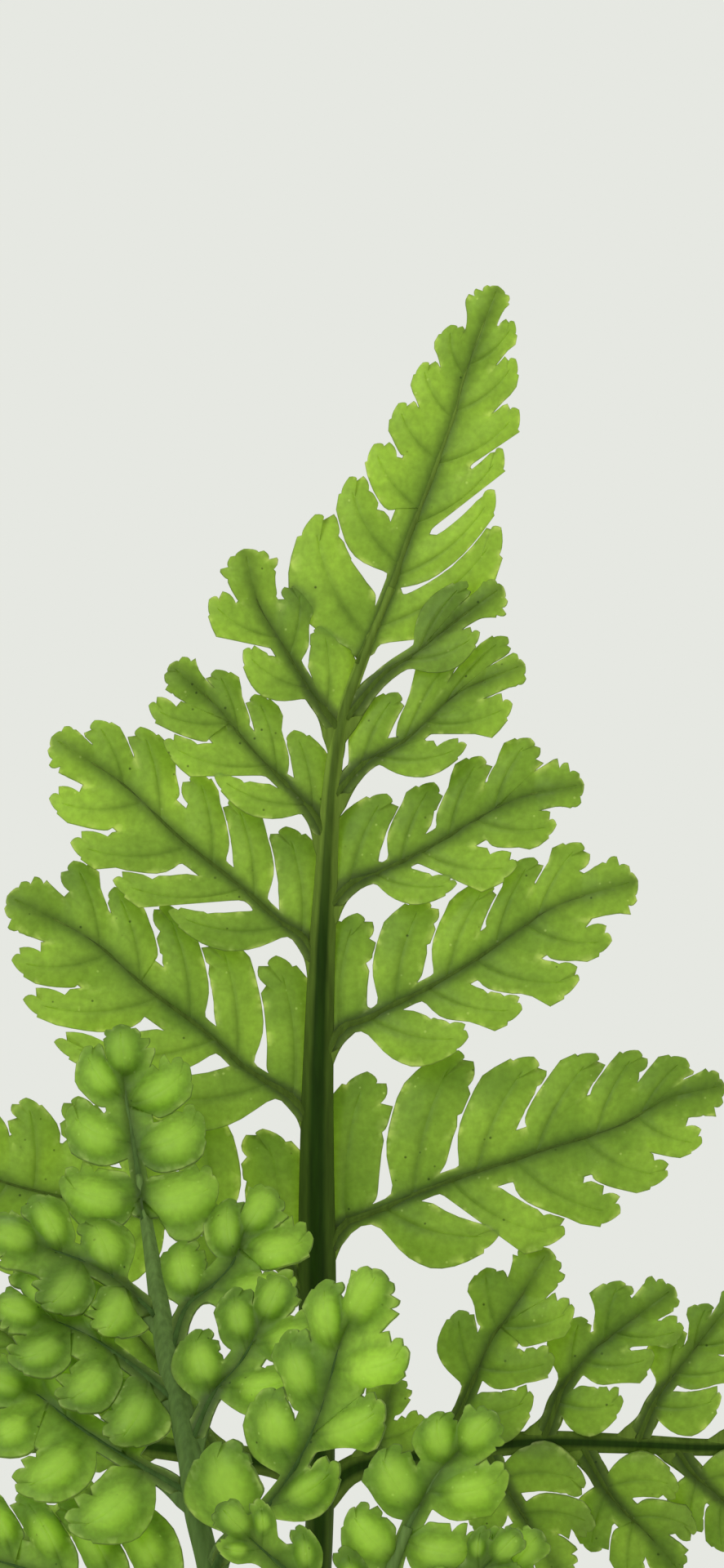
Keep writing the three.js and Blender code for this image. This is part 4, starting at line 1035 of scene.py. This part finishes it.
def fern_blade(name, lighter_green, darker_green, vein_green, pale_fleck_and_rim_highlight, pouch_highlight_green):
    """A leaf material. It reads darkness with its painted shade, vein, rim and pouch from the points,
    paints highlights on the pouches and in patches along the rim, and mottles in object coordinates."""
    made, add = new_finish(name)
    place = add("TexCoord", output="Object")
    tone_and_shade, vein, rim, pouch = (
        add("Attribute", output="Fac", attribute_name=key) for key in ("tone_and_shade", "vein", "rim", "pouch")
    )
    cells = add("TexNoise", {"Vector": place, "Scale": 1 / CELLS, "Detail": 3.0})
    patches = add("TexNoise", {"Vector": place, "Scale": 1 / PATCHES, "Detail": 2.0})
    rim_highlight_patches = add("TexNoise", {"Vector": place, "Scale": 1 / RIM_HIGHLIGHT_PATCHES, "Detail": 2.0})
    from_speck = add("TexVoronoi", {"Vector": place, "Scale": 1 / SPECKS})
    speck_kind = from_speck.node.outputs["Color"]

    tone_and_shade = add("Math", [tone_and_shade, add("MapRange", [patches, 0.3, 0.7, -0.05, 0.3])], operation="ADD")
    # lighter to darker green by the points' random tone together with their painted shade
    green = add("Mix", {0: tone_and_shade, 6: colour(lighter_green), 7: colour(darker_green)}, **RGBA)
    speck = add("MapRange", [from_speck, 0.06, 0.13, 1.0, 0.0])
    pale = add("Math", [speck, add("MapRange", [speck_kind, 0.66, 0.7, 0.0, 0.5])], **TIMES)
    green = add("Mix", {0: pale, 6: green, 7: colour(pale_fleck_and_rim_highlight)}, **RGBA)
    dark = add("Math", [speck, add("MapRange", [speck_kind, 0.24, 0.28, 0.7, 0.0])], **TIMES)
    green = add("Mix", {0: dark, 6: green, 7: colour(DARK_FLECK)}, **RGBA)
    green = add("VectorMath", [green, add("MapRange", [cells, 0.3, 0.72, 0.88, 1.12])], **TIMES)
    # painted highlight: the middle of each pouch is painted lighter than the sheet round it
    pouch_highlight_share = add("Math", [add("Math", [pouch, 1.4], operation="POWER"), 0.6], **TIMES)
    green = add("Mix", {0: pouch_highlight_share, 6: green, 7: colour(pouch_highlight_green)}, **RGBA)
    shown = add("Math", [vein, add("MapRange", [pouch, 0.2, 0.7, 0.85, 0.1])], **TIMES)
    green = add("Mix", {0: shown, 6: green, 7: colour(vein_green)}, **RGBA)
    # painted highlight: pale patches along the margin
    dry = add("Math", [rim, add("MapRange", [rim_highlight_patches, 0.52, 0.64, 0.05, 0.75])], **TIMES)
    green = add("Mix", {0: dry, 6: green, 7: colour(pale_fleck_and_rim_highlight)}, **RGBA)
    edge = add("MapRange", [rim, 0.82, 1.0, 0.0, 0.6])
    green = add("Mix", {0: edge, 6: green, 7: colour(RIM_OLIVE)}, **RGBA)

    relief = add("Math", [add("Math", [cells, 0.6], **TIMES), vein], operation="SUBTRACT")
    bump = add("Bump", {"Height": relief, "Strength": 0.4, "Distance": 0.08 * MM})
    face = add("BsdfPrincipled", {"Base Color": green, "Roughness": 0.45, "IOR": 1.4, "Normal": bump})
    lit = add("VectorMath", [green, (1.9, 1.75, 1.7)], **TIMES)
    back = add("BsdfTranslucent", {"Color": lit, "Normal": bump})
    add("OutputMaterial", {"Surface": add("MixShader", [THROUGH, face, back])})
    return made


# colours: lighter and darker green, vein green, pale flecks with the painted highlight along the margin, and
# the painted highlight of the pouches
plain_blade = fern_blade("leathery_fern_blade", "#A6C158", "#779439", "#2B450E", "#CFDC92", "#BBD55F")
fertile_blade = fern_blade("fertile_fern_blade", "#AFCC5C", "#7B9B3D", "#3C5620", "#C3D488", "#BAD768")
print("materials:", plain_blade.name, fertile_blade.name)


# %% [markdown]
# Stems and ribs are firm. Their skin is smooth, with a soft gloss, dark green along the middle. The wings
# at their sides are paler and thin enough to let some light through. The foot of a stipe is straw brown,
# where it was covered by the rhizome's scales.


# %% Smooth green stem
STREAKS = 0.3 * MM  # width of the streaks in a stem's skin


def fern_stem(name, core_green, wing_green, foot_brown):
    """A stem material, dark where core is 1, less so as along grows. It turns brown where foot is 1."""
    made, add = new_finish(name)
    place = add("TexCoord", output="Object")
    core, foot, along = (
        add("Attribute", output="Fac", attribute_name=key) for key in ("core", "foot", "along")
    )
    drawn_out = add("Mapping", {"Vector": place, "Scale": (1, 1, 0.12)})
    grain = add("TexNoise", {"Vector": drawn_out, "Scale": 1 / STREAKS, "Detail": 3.0})
    dark = add("Math", [core, add("MapRange", [along, 0.8, 1.0, 1.0, 0.7])], **TIMES)
    skin = add("Mix", {0: dark, 6: colour(wing_green), 7: colour(core_green)}, **RGBA)
    skin = add("Mix", {0: foot, 6: skin, 7: colour(foot_brown)}, **RGBA)
    skin = add("VectorMath", [skin, add("MapRange", [grain, 0.3, 0.7, 0.8, 1.2])], **TIMES)
    bump = add("Bump", {"Height": grain, "Strength": 0.3, "Distance": 0.05 * MM})
    face = add("BsdfPrincipled", {"Base Color": skin, "Roughness": 0.55, "IOR": 1.15, "Normal": bump})
    thin = add("MapRange", [core, 0.0, 1.0, 0.5, 0.0])
    back = add("BsdfTranslucent", {"Color": skin})
    add("OutputMaterial", {"Surface": add("MixShader", [thin, face, back])})
    return made


dark_stem = fern_stem("smooth_green_rachis", "#1F3507", "#A9CA52", "#7A5A34")
pale_stem = fern_stem("waxy_green_rachis", "#2F4A1C", "#8BAA5C", "#7A5A34")
print("materials:", dark_stem.name, pale_stem.name)


# %% [markdown]
# ## Dressing the fronds
#
# Each frond is laid pinna by pinna, and each pinna rises from the frond's surface a little more or less
# than the next, by the same seeded numbers as its solid. A flat green web fills the angle below each rib,
# where it leaves the stem. The blades of a frond are joined into a few pieces, and all its ribs and its
# rachis into one more.

# %% Lay pinnae and their ribs
def with_lift(plans, seed):
    """The plans with the rise of each pinna, its own and a seeded bit more or less."""
    random = dice(seed)
    return [{**plan, "lift": plan.get("rise", 0) + (next(random) - 0.5) * 0.05} for plan in plans]


def web(rib, stem_curve, at):
    """The flat green web in the angle below a rib: it leaves the stem at a slant and thins out along the
    rib."""
    nearest = np.abs(stem_curve.line - rib.at(0)).sum(1).argmin()
    node = stem_curve.far[nearest] / stem_curve.length
    back = [stem_curve.at(max(0, node - x / stem_curve.length)) for x in (2.6, 1.2)]
    curve = Curve([*back, *(rib.at(x / rib.length) for x in (1.3, 3, 5.5))])
    share = np.linspace(0, 1, 24)
    drawn = curve.at(share)
    width = np.interp(share, [0, 0.3, 0.6, 1], [0.3, 0.72, 0.62, 0.2])
    made = stem(at(drawn, 0.0), normals_of(at, drawn), width, 0.1 + width * 0.05, 0.6, 12)
    return {**made, "core": made["core"] * 0 + 0.65, "foot": made["along"] * 0}


def lay(plans, place, seed, fertile=False, tilt=0.2, carried_on=False, stems=()):
    """Blades and ribs of several pinnae. A rib that carries the rachis on starts as wide as that ends, and
    a rib that leaves one of these stems gets a web."""
    blades, ribs = [], []
    stem_curves = [Curve(path) for path in stems]
    for k, plan in enumerate(with_lift(plans, seed)):
        sheet, (line, facing) = blade(plan, place, dice(seed * 97 + k), fertile, tilt)
        thin = np.linspace(0, 1, len(line)) ** 0.8
        width = mix(0.32 if carried_on else 0.15 * plan["half"] + 0.08, 0.06, thin)
        rib = stem(line, facing, width, width * 0.6 + 0.08, sides=8, core=0.85)
        rib["core"] *= 0.95 if fertile else 0.88
        if carried_on:
            rib["along"] = mix(0.8, 1, rib["along"])
        blades.append(sheet)
        ribs.append({**rib, "foot": rib["along"] * 0})
        if stem_curves:
            path = Curve(plan["path"])
            start = path.at(0)
            nearest = min(stem_curves, key=lambda curve: np.linalg.norm(curve.line - start, axis=1).min())
            ribs.append(web(path, nearest, pinna_surface(plan, place, tilt)))
    return blades, ribs


# %% Stipe, rachis and the stems of divided pinnae
STIPE = 1.1  # radius of a stipe at its foot, in mm
SOCKET_TOP, SOCKET_DEPTH, SEAT_GAP = 8.6, 1.5, 0.3
STIPE_FOOT = SOCKET_TOP - SOCKET_DEPTH + SEAT_GAP
STANDS = {"tall": [-0.5, 1, STIPE_FOOT], "left": [-2, -24, STIPE_FOOT], "near": [-2.3, -36, STIPE_FOOT]}


def stalk(foot, bends, rachis, place, dark=1.0):
    """Stipe and rachis in one: round below, winged along the blade, thinning to the top, and dark in the
    middle."""
    drawn = np.array(rachis, float)
    points = [foot, [foot[0], foot[1], foot[2] + 2], *bends, *place(drawn[:, 0], drawn[:, 1], 0.0)]
    share = np.linspace(0, 1, 160)
    line = Curve(points).at(share)
    height = line[:, 2]
    radius = mix(STIPE, 0.3, share**1.6)
    wing = smoothstep(height, FOOT - 4, FOOT + 14)
    up = smoothstep(height, FOOT + 8, FOOT + 45)
    ending = smoothstep(share, 0.8, 1)
    core = mix(mix(0.62, 0.48, up), 0.85, ending)
    width = radius * (1 + mix(0.6, 0.4, up) * wing * (1 - ending))
    facing = np.tile([0.0, -1, 0], (len(line), 1))
    tube = stem(line, facing, width, radius * (1 - 0.1 * wing), wing * 0.7, 20, core)
    shade = mix(0.92, 0.45, np.interp(tube["along"], share, smoothstep(height, FOOT + 20, FOOT + 58)))
    core, foot_share = np.maximum(tube["core"], shade) * dark, smoothstep(tube["along"], 0.02, 0.22)
    return {**tube, "core": core, "foot": 1 - foot_share}


def side_stem(path, place):
    """The stem of a divided pinna, on the frond's surface, winged like the rachis."""
    drawn = np.array(path, float)
    share = np.linspace(0, 0.92, 60)
    line = Curve(place(drawn[:, 0], drawn[:, 1], 0.0)).at(share)
    width = mix(0.9, 0.3, share)
    tube = stem(line, np.tile([0.0, -1, 0], (len(line), 1)), width, width * 0.45, 0.6, 14, 0.45)
    return {**tube, "core": np.maximum(tube["core"], 0.8), "foot": tube["along"] * 0}


def dress(name, parts, finish, node, slot):
    """One piece from several parts."""
    whole = together(parts)
    points, faces = whole.pop("points"), whole.pop("faces")
    piece(name, points, [faces], finish, node, slot, **whole)


# %% The tallest frond in space
pinnules = [
    *RIGHT_PINNULES,
    *pinnae_by_rule(LOW_RIGHT, 1, 0.66, 3, 12),
    *pinnae_by_rule(LOW_RIGHT, -1, 0.73, 2, 10),
    *pinnae_by_rule(LOW_LEFT, -1, 0.19, 5, 12.5),
    *pinnae_by_rule(LOW_LEFT, 1, 0.3, 3, 10.5, 0.84),
]
tall_paths = [TALL_RACHIS, LOW_RIGHT, LOW_LEFT]
blades, ribs = lay([*TALL_PINNAE, *pinnules], tall_place, 7, stems=tall_paths)
top_blades, top_ribs = lay([TALL_TOP], tall_place, 3, tilt=0.0, carried_on=True)
upper = len(TALL_PINNAE)
for name, sheets in {
    "tall_blades_right": blades[: upper // 2],
    "tall_blades_left": blades[upper // 2 : upper],
    "tall_blade_top": top_blades,
    "tall_blades_low": blades[upper:],
}.items():
    dress(name, sheets, plain_blade, "frond_tall", "frond_green")
stems = [stalk(STANDS["tall"], [[-1, 1.5, 24], [-1.2, 0, 44]], TALL_RACHIS, tall_place)]
stems += [side_stem(path, tall_place) for path in (LOW_RIGHT, LOW_LEFT)]
dress("tall_rachis_and_ribs", [*stems, *ribs, *top_ribs], dark_stem, "frond_tall", "frond_green")

# %% The two fertile fronds in space
for name, rachis, pinnae, top, place, seeds, top_tilt, bends in (
    ("left", LEFT_RACHIS, LEFT_PINNAE, LEFT_TOP, left_place, (11, 5), 0.0, [[-2.3, -24, 24]]),
    ("near", NEAR_RACHIS, NEAR_PINNAE, NEAR_TOP, near_place, (13, 17), 0.1, [[-2.3, -36.4, 18]]),
):
    blades, ribs = lay(pinnae, place, seeds[0], True, stems=[rachis])
    top_blades, top_ribs = lay([top], place, seeds[1], True, top_tilt, True)
    dress(f"{name}_blades", [*blades, *top_blades], fertile_blade, f"frond_{name}", "fertile_green")
    whole_stem = stalk(STANDS[name], bends, rachis, place, 0.75)
    parts = [whole_stem, *ribs, *top_ribs]
    dress(f"{name}_rachis_and_ribs", parts, pale_stem, f"frond_{name}", "fertile_green")


# %% [markdown]
# ## The rhizome
#
# The fern is named for its rhizome, which creeps over the ground as thick as a pencil and is covered in
# papery scales like the fur on a paw. The scales are long and thin, brown at the root and silvery at the
# tip, and they point towards the growing end. Hair particles would be lost in an export, so every scale is
# a small closed blade of its own with 32 faces, and all those of a branch are worked out at once as one
# array.

# %% The body under the scales
RHIZOME = 3.5  # its radius without the scales, in mm
GROWTH = 9.0  # length of a growing end, in mm
MAIN = [
    [-37, 9, 3.4], [-31, 8, 3.1], [-20, 2, 4.2], [-9, -1, 3.8], [0, 0, 3.1], [11, 3, 4], [22, -1, 4.2],
    [31, -6, 3.1], [37, -7, 3.4],
]
FRONT = [[-1, 1, 3.3], [-3, -12, 4], [-2, -24, 3.5], [-2.3, -36, 3.4], [-0.5, -43, 3.1], [1.5, -49, 3.4]]
BACK = [[8, 1, 3.8], [10, 12, 4.2], [15, 22, 3.1], [18, 28, 3.4]]
GROUND = 0.03  # lowest point, in mm


def branch_frame(curve, share, rooted):
    """Centre, direction, two cross directions and radius of a branch at shares of its length."""
    ahead = curve.heading(share)
    across = unit(np.cross(ahead, [0.0, 0, 1]))
    above = np.cross(across, ahead)
    near = np.clip(to_growth(curve, share, rooted) / GROWTH, 0, 1)
    radius = RHIZOME * mix(0.08, 0.93, np.sin(near * math.pi / 2) ** 0.8)
    return curve.at(share), ahead, across, above, radius


def to_growth(curve, share, rooted):
    """Distance to the growing end. A branch that is rooted in another one has one such end, the others have
    two."""
    return curve.length * (1 - share if rooted else np.minimum(share, 1 - share))


def bare(points, faces):
    """A part without scales that lies on the surface."""
    points[:, 2] = np.maximum(points[:, 2], GROUND)
    return {"points": points, "faces": faces, "paper": np.zeros(len(points)), "along": np.zeros(len(points))}


def branch_body(points, rooted, steps=90, sides=22):
    """A closed tube with low uneven swellings, flat where it lies on the surface."""
    curve = Curve(points)
    share = np.linspace(1.4 / curve.length, 1 - 1.4 / curve.length, steps)
    centre, _, across, above, radius = branch_frame(curve, share, rooted)
    angle = angles(sides)
    swell = 0.06 * np.sin(3 * angle[None] + share[:, None] * 40) * np.sin(share[:, None] * 61) - 0.07
    r = (radius[:, None] * (1 + swell))[..., None]
    out = np.cos(angle)[None, :, None] * across[:, None] + np.sin(angle)[None, :, None] * above[:, None]
    rings = centre[:, None] + r * out
    return bare(np.concatenate([rings.reshape(-1, 3), centre[:1], centre[-1:]]), tube_faces(steps, sides))


# %% The scales
SCALE_STEPS = np.array([0.1, 0.3, 0.55, 0.8])  # where a scale has a ring of four points


def scales(root, ahead, out, length, width, random):
    """Closed pointed blades. A scale's spine runs from its root along ahead, lifts away and bends over at
    its end. Its section is a flat diamond, width times a sine that falls to nothing at the tip."""
    n = len(root)
    side = unit(np.cross(ahead, out))
    lift = random.uniform(0.05, 0.32, (n, 1, 1))
    sway = random.uniform(-0.22, 0.22, (n, 1, 1))

    def spine(a):
        up = out[:, None] * lift * (a * 1.4 - a**3 * 0.7)
        way = ahead[:, None] * a + up + side[:, None] * sway * a * a
        return root[:, None] + length[:, None, None] * way

    a = SCALE_STEPS[None, :, None]
    middle = spine(a)
    flat = side[:, None] * (width[:, None, None] * np.sin(math.pi * (0.22 + 0.72 * a)) * (1 - 0.35 * a))
    thick = out[:, None] * 0.05
    section = np.stack([middle + flat, middle + thick, middle - flat, middle - thick], axis=2)
    steps = len(SCALE_STEPS)
    ends = spine(np.array([0.0, 1])[None, :, None])
    points = np.concatenate([section.reshape(n, steps * 4, 3), ends], axis=1)
    per = points.shape[1]
    faces = (tube_faces(steps, 4)[None] + np.arange(n)[:, None, None] * per).reshape(-1, 3)
    points = points.reshape(-1, 3)
    points[:, 2] = np.maximum(points[:, 2], GROUND)
    along = np.tile(np.concatenate([np.repeat(SCALE_STEPS, 4), [0, 1]]), n)
    paper = np.repeat(random.uniform(0, 1, n), per)
    return {"points": points, "faces": faces, "paper": paper, "along": along}


def scaly_branch(points, rooted, count, seed):
    """Scales all round a branch but for its underside. They point to the growing end and close over it in a
    tuft."""
    random = np.random.default_rng(seed)
    curve = Curve(points)
    inset = 1.8 / curve.length
    share = random.uniform(inset, 1 - inset, count)
    left = to_growth(curve, share, rooted)
    centre, ahead, across, above, radius = branch_frame(curve, share, rooted)
    if not rooted:
        ahead = ahead * np.where(share + random.uniform(-0.03, 0.03, count) < 0.5, -1, 1)[:, None]
    angle = random.uniform(-0.42, math.pi + 0.42, count)
    out = np.cos(angle)[:, None] * across + np.sin(angle)[:, None] * above
    root = centre + out * (radius * 0.9)[:, None]
    lean = random.uniform(0.12, 0.5, count) * smoothstep(left, 0.5, 6) - 0.25 * (1 - smoothstep(left, 0, 5))
    turn = random.uniform(-0.35, 0.35, count)[:, None] * np.cross(ahead, out)
    heading = unit(ahead + out * lean[:, None] + turn)
    length = np.minimum(random.uniform(2.2, 4.2, count), left - 1.2)
    return scales(root, heading, out, length, random.uniform(0.22, 0.42, count), random)


# %% Collars, roots and all of the rhizome
# Radius and height of a stub's outline, from the middle of its underside to the floor of its socket, in mm.
COLLAR = [
    (0, 4.4), (2.4, 4.4), (2.3, 6.4), (2.05, 8.1), (1.9, 8.5),
    (1.6, 8.55), (1.4, 8.3), (1.4, 7.1), (0, 7.1),
]


def collar(x, y, sides=28):
    """The stub that a stipe stands in: a profile of radius and height turned round its axis, with a socket
    on top."""
    profile = np.array(COLLAR, float)
    inner = profile[1:-1]
    ring = np.stack([np.cos(angles(sides)), np.sin(angles(sides))], -1)
    level = inner[:, None, :1] * ring[None] + [x, y]
    rings = np.concatenate([level, np.broadcast_to(inner[:, None, 1:], (len(inner), sides, 1))], -1)
    points = np.concatenate([rings.reshape(-1, 3), [[x, y, profile[0][1]], [x, y, profile[-1][1]]]])
    return bare(points, tube_faces(len(inner), sides))


def collar_scales(x, y, seed, count=90):
    """Scales that stand up round a stub."""
    random = np.random.default_rng(seed)
    above = np.array([0, 0, 1])
    angle = random.uniform(0, 2 * math.pi, count)
    out = np.stack([np.cos(angle), np.sin(angle), np.zeros(count)], -1)
    root = np.array([x, y, 0]) + out * 2.05 + random.uniform(4.8, 7.2, count)[:, None] * above
    heading = unit(above + out * random.uniform(0.1, 0.55, count)[:, None])
    length, width = random.uniform(1.6, 2.9, count), random.uniform(0.2, 0.34, count)
    return scales(root, heading, out, length, width, random)


def roots(count, curve):
    """Thin roots that leave the underside and run out along the surface, where their solids lie."""
    random = dice(23)
    made = []
    for k in range(count):
        start, ahead = curve.at((k + 0.5) / count), curve.heading((k + 0.5) / count)
        way = np.array([-ahead[1], ahead[0], 0]) * (1 if k % 2 else -1) + ahead * (next(random) - 0.5)
        way /= np.linalg.norm(way)
        reach = mix(8, 13, next(random))
        points = [start + way * reach * s for s in (0.1, 0.5, 0.75, 1)]
        for point, z in zip(points, (2.4, 1.4, 0.6, 0.5)):
            point[2] = z
        share = np.linspace(0, 1, 40)
        sway = 0.22 * np.sin(share * 21 + k) * share
        line = Curve(points).at(share) + sway[:, None] * np.cross(way, [0.0, 0, 1])
        radius = mix(0.34, 0.14, share)
        tube = stem(line, np.tile([0.0, 0, 1], (len(line), 1)), radius, radius, sides=8)
        made.append({**bare(tube["points"], tube["faces"]), "along": tube["along"]})
    return made


# %% [markdown]
# Dry scales are thin brown paper that turns silvery towards a ragged tip. They scatter light softly and
# have hardly any gloss. The skin under them and the roots are dark brown cork.


# %% Papery scale and cork
GRAIN = 0.5 * MM  # size of the grain in scales and cork


def rhizome_cover(name, cork, root_brown, tip_silver):
    """Brown at a scale's root and silver at its tip, with a share of silver of its own. Cork where paper is
    0."""
    made, add = new_finish(name)
    place = add("TexCoord", output="Object")
    paper, along = (add("Attribute", output="Fac", attribute_name=key) for key in ("paper", "along"))
    grain = add("TexNoise", {"Vector": place, "Scale": 1 / GRAIN, "Detail": 4.0})
    silver = add("MapRange", [add("Math", [along, paper], **TIMES), 0.02, 0.55, 0.05, 1.0])
    dry = add("Mix", {0: silver, 6: colour(root_brown), 7: colour(tip_silver)}, **RGBA)
    is_scale = add("Math", [paper, 0.0001], operation="GREATER_THAN")
    base = add("Mix", {0: is_scale, 6: colour(cork), 7: dry}, **RGBA)
    base = add("VectorMath", [base, add("MapRange", [grain, 0.3, 0.7, 0.78, 1.2])], **TIMES)
    bump = add("Bump", {"Height": grain, "Strength": 0.5, "Distance": 0.1 * MM})
    surface = {"Base Color": base, "Roughness": 0.78, "IOR": 1.4, "Normal": bump}
    add("OutputMaterial", {"Surface": add("BsdfPrincipled", surface)})
    return made


papery_scales = rhizome_cover("papery_scales_and_cork", "#4A3524", "#8A6440", "#D8CDB8")

# %% Build the rhizome
bodies = [branch_body(MAIN, False), branch_body(FRONT, True), branch_body(BACK, True)]
stubs = [collar(x, y) for x, y, _ in STANDS.values()]
fine_roots = roots(7, Curve(MAIN)) + roots(3, Curve(FRONT[1:]))
fur = [
    scaly_branch(MAIN, False, 2000, 3),
    scaly_branch(FRONT, True, 1250, 4),
    scaly_branch(BACK, True, 720, 5),
]
ruffs = [collar_scales(x, y, 30 + k) for k, (x, y, _) in enumerate(STANDS.values())]
dress("rhizome_body_and_roots", bodies + stubs + fine_roots, papery_scales, "rhizome", "rhizome_scales")
dress("rhizome_scales", fur + ruffs, papery_scales, "rhizome", "rhizome_scales")

# %% [markdown]
# ## Floor and light
#
# The photograph has a pale, even background and soft light that comes mostly from behind, so the leaves
# glow. A pale world gives that from all sides. One large soft light stands behind the plant and a weaker
# one in front at the upper left, for the gloss. The floor is a pale disc that fades out at its rim, so that
# it ends without an edge.

# %% Pale floor
DISC_SIDES = 96
DISC_RADII = np.array([1.0, 60, 140, 220, 300, 360, 420])  # of its rings, in mm
DISC_HEIGHT = -0.02  # just under the plant, in mm

circle = np.stack([np.cos(angles(DISC_SIDES)), np.sin(angles(DISC_SIDES))], -1)
flat = np.concatenate([(DISC_RADII[:, None, None] * circle).reshape(-1, 2), np.zeros((1, 2))])
floor_points = np.concatenate([flat, np.full((len(flat), 1), DISC_HEIGHT)], -1)
fade = np.concatenate([np.repeat(1 - smoothstep(DISC_RADII, 140, DISC_RADII[-1]), DISC_SIDES), [1]])
disc = grid_faces(len(DISC_RADII), DISC_SIDES, closed=True)[:, ::-1]
middle = fan_faces(len(flat) - 1, np.arange(DISC_SIDES))

floor_finish, add = new_finish("matt_white_paper")
faded = add("Attribute", output="Fac", attribute_name="fade")
paper = add("BsdfDiffuse", {"Color": colour("#E6E6E2")})
add("OutputMaterial", {"Surface": add("MixShader", [faded, add("BsdfTransparent"), paper])})

floor_mesh = bpy.data.meshes.new("floor")
floor_mesh.from_pydata((floor_points * MM).tolist(), [], disc.tolist() + middle.tolist())
layer = floor_mesh.attributes.new("fade", "FLOAT", "POINT")
layer.data.foreach_set("value", fade.astype(np.float32))
floor_mesh.materials.append(floor_finish)
floor = bpy.data.objects.new("floor", floor_mesh)
bpy.context.scene.collection.objects.link(floor)
print("floor radius:", DISC_RADII[-1], "mm")

# %% Soft light
world = bpy.data.worlds.new("pale_studio")
world.use_nodes = True
sky = world.node_tree.nodes["Background"].inputs
sky["Color"].default_value = colour("#E6E8E2")
sky["Strength"].default_value = 1.0
bpy.context.scene.world = world
MIDDLE = np.array([0.0, 0, 80])  # of the plant, in mm


def soft_light(name, place, size, watts, tint):
    """A square area light at a place, in millimetres, turned towards the middle of the plant."""
    lamp = bpy.data.lights.new(name, "AREA")
    lamp.size = size * MM
    lamp.energy = watts
    lamp.color = colour(tint)[:3]
    made = bpy.data.objects.new(name, lamp)
    way = MIDDLE - place
    way /= np.linalg.norm(way)
    made.location = np.array(place, float) * MM
    made.rotation_euler = (math.acos(-way[2]), 0, math.atan2(way[1], way[0]) - math.pi / 2)
    bpy.context.scene.collection.objects.link(made)


soft_light("light_behind", [150, 620, 520], 500, 1.6, "#FFFDF4")
soft_light("light_front", [-420, -520, 460], 420, 1.8, "#F6FBFF")

bpy.context.scene.view_settings.view_transform = "Standard"
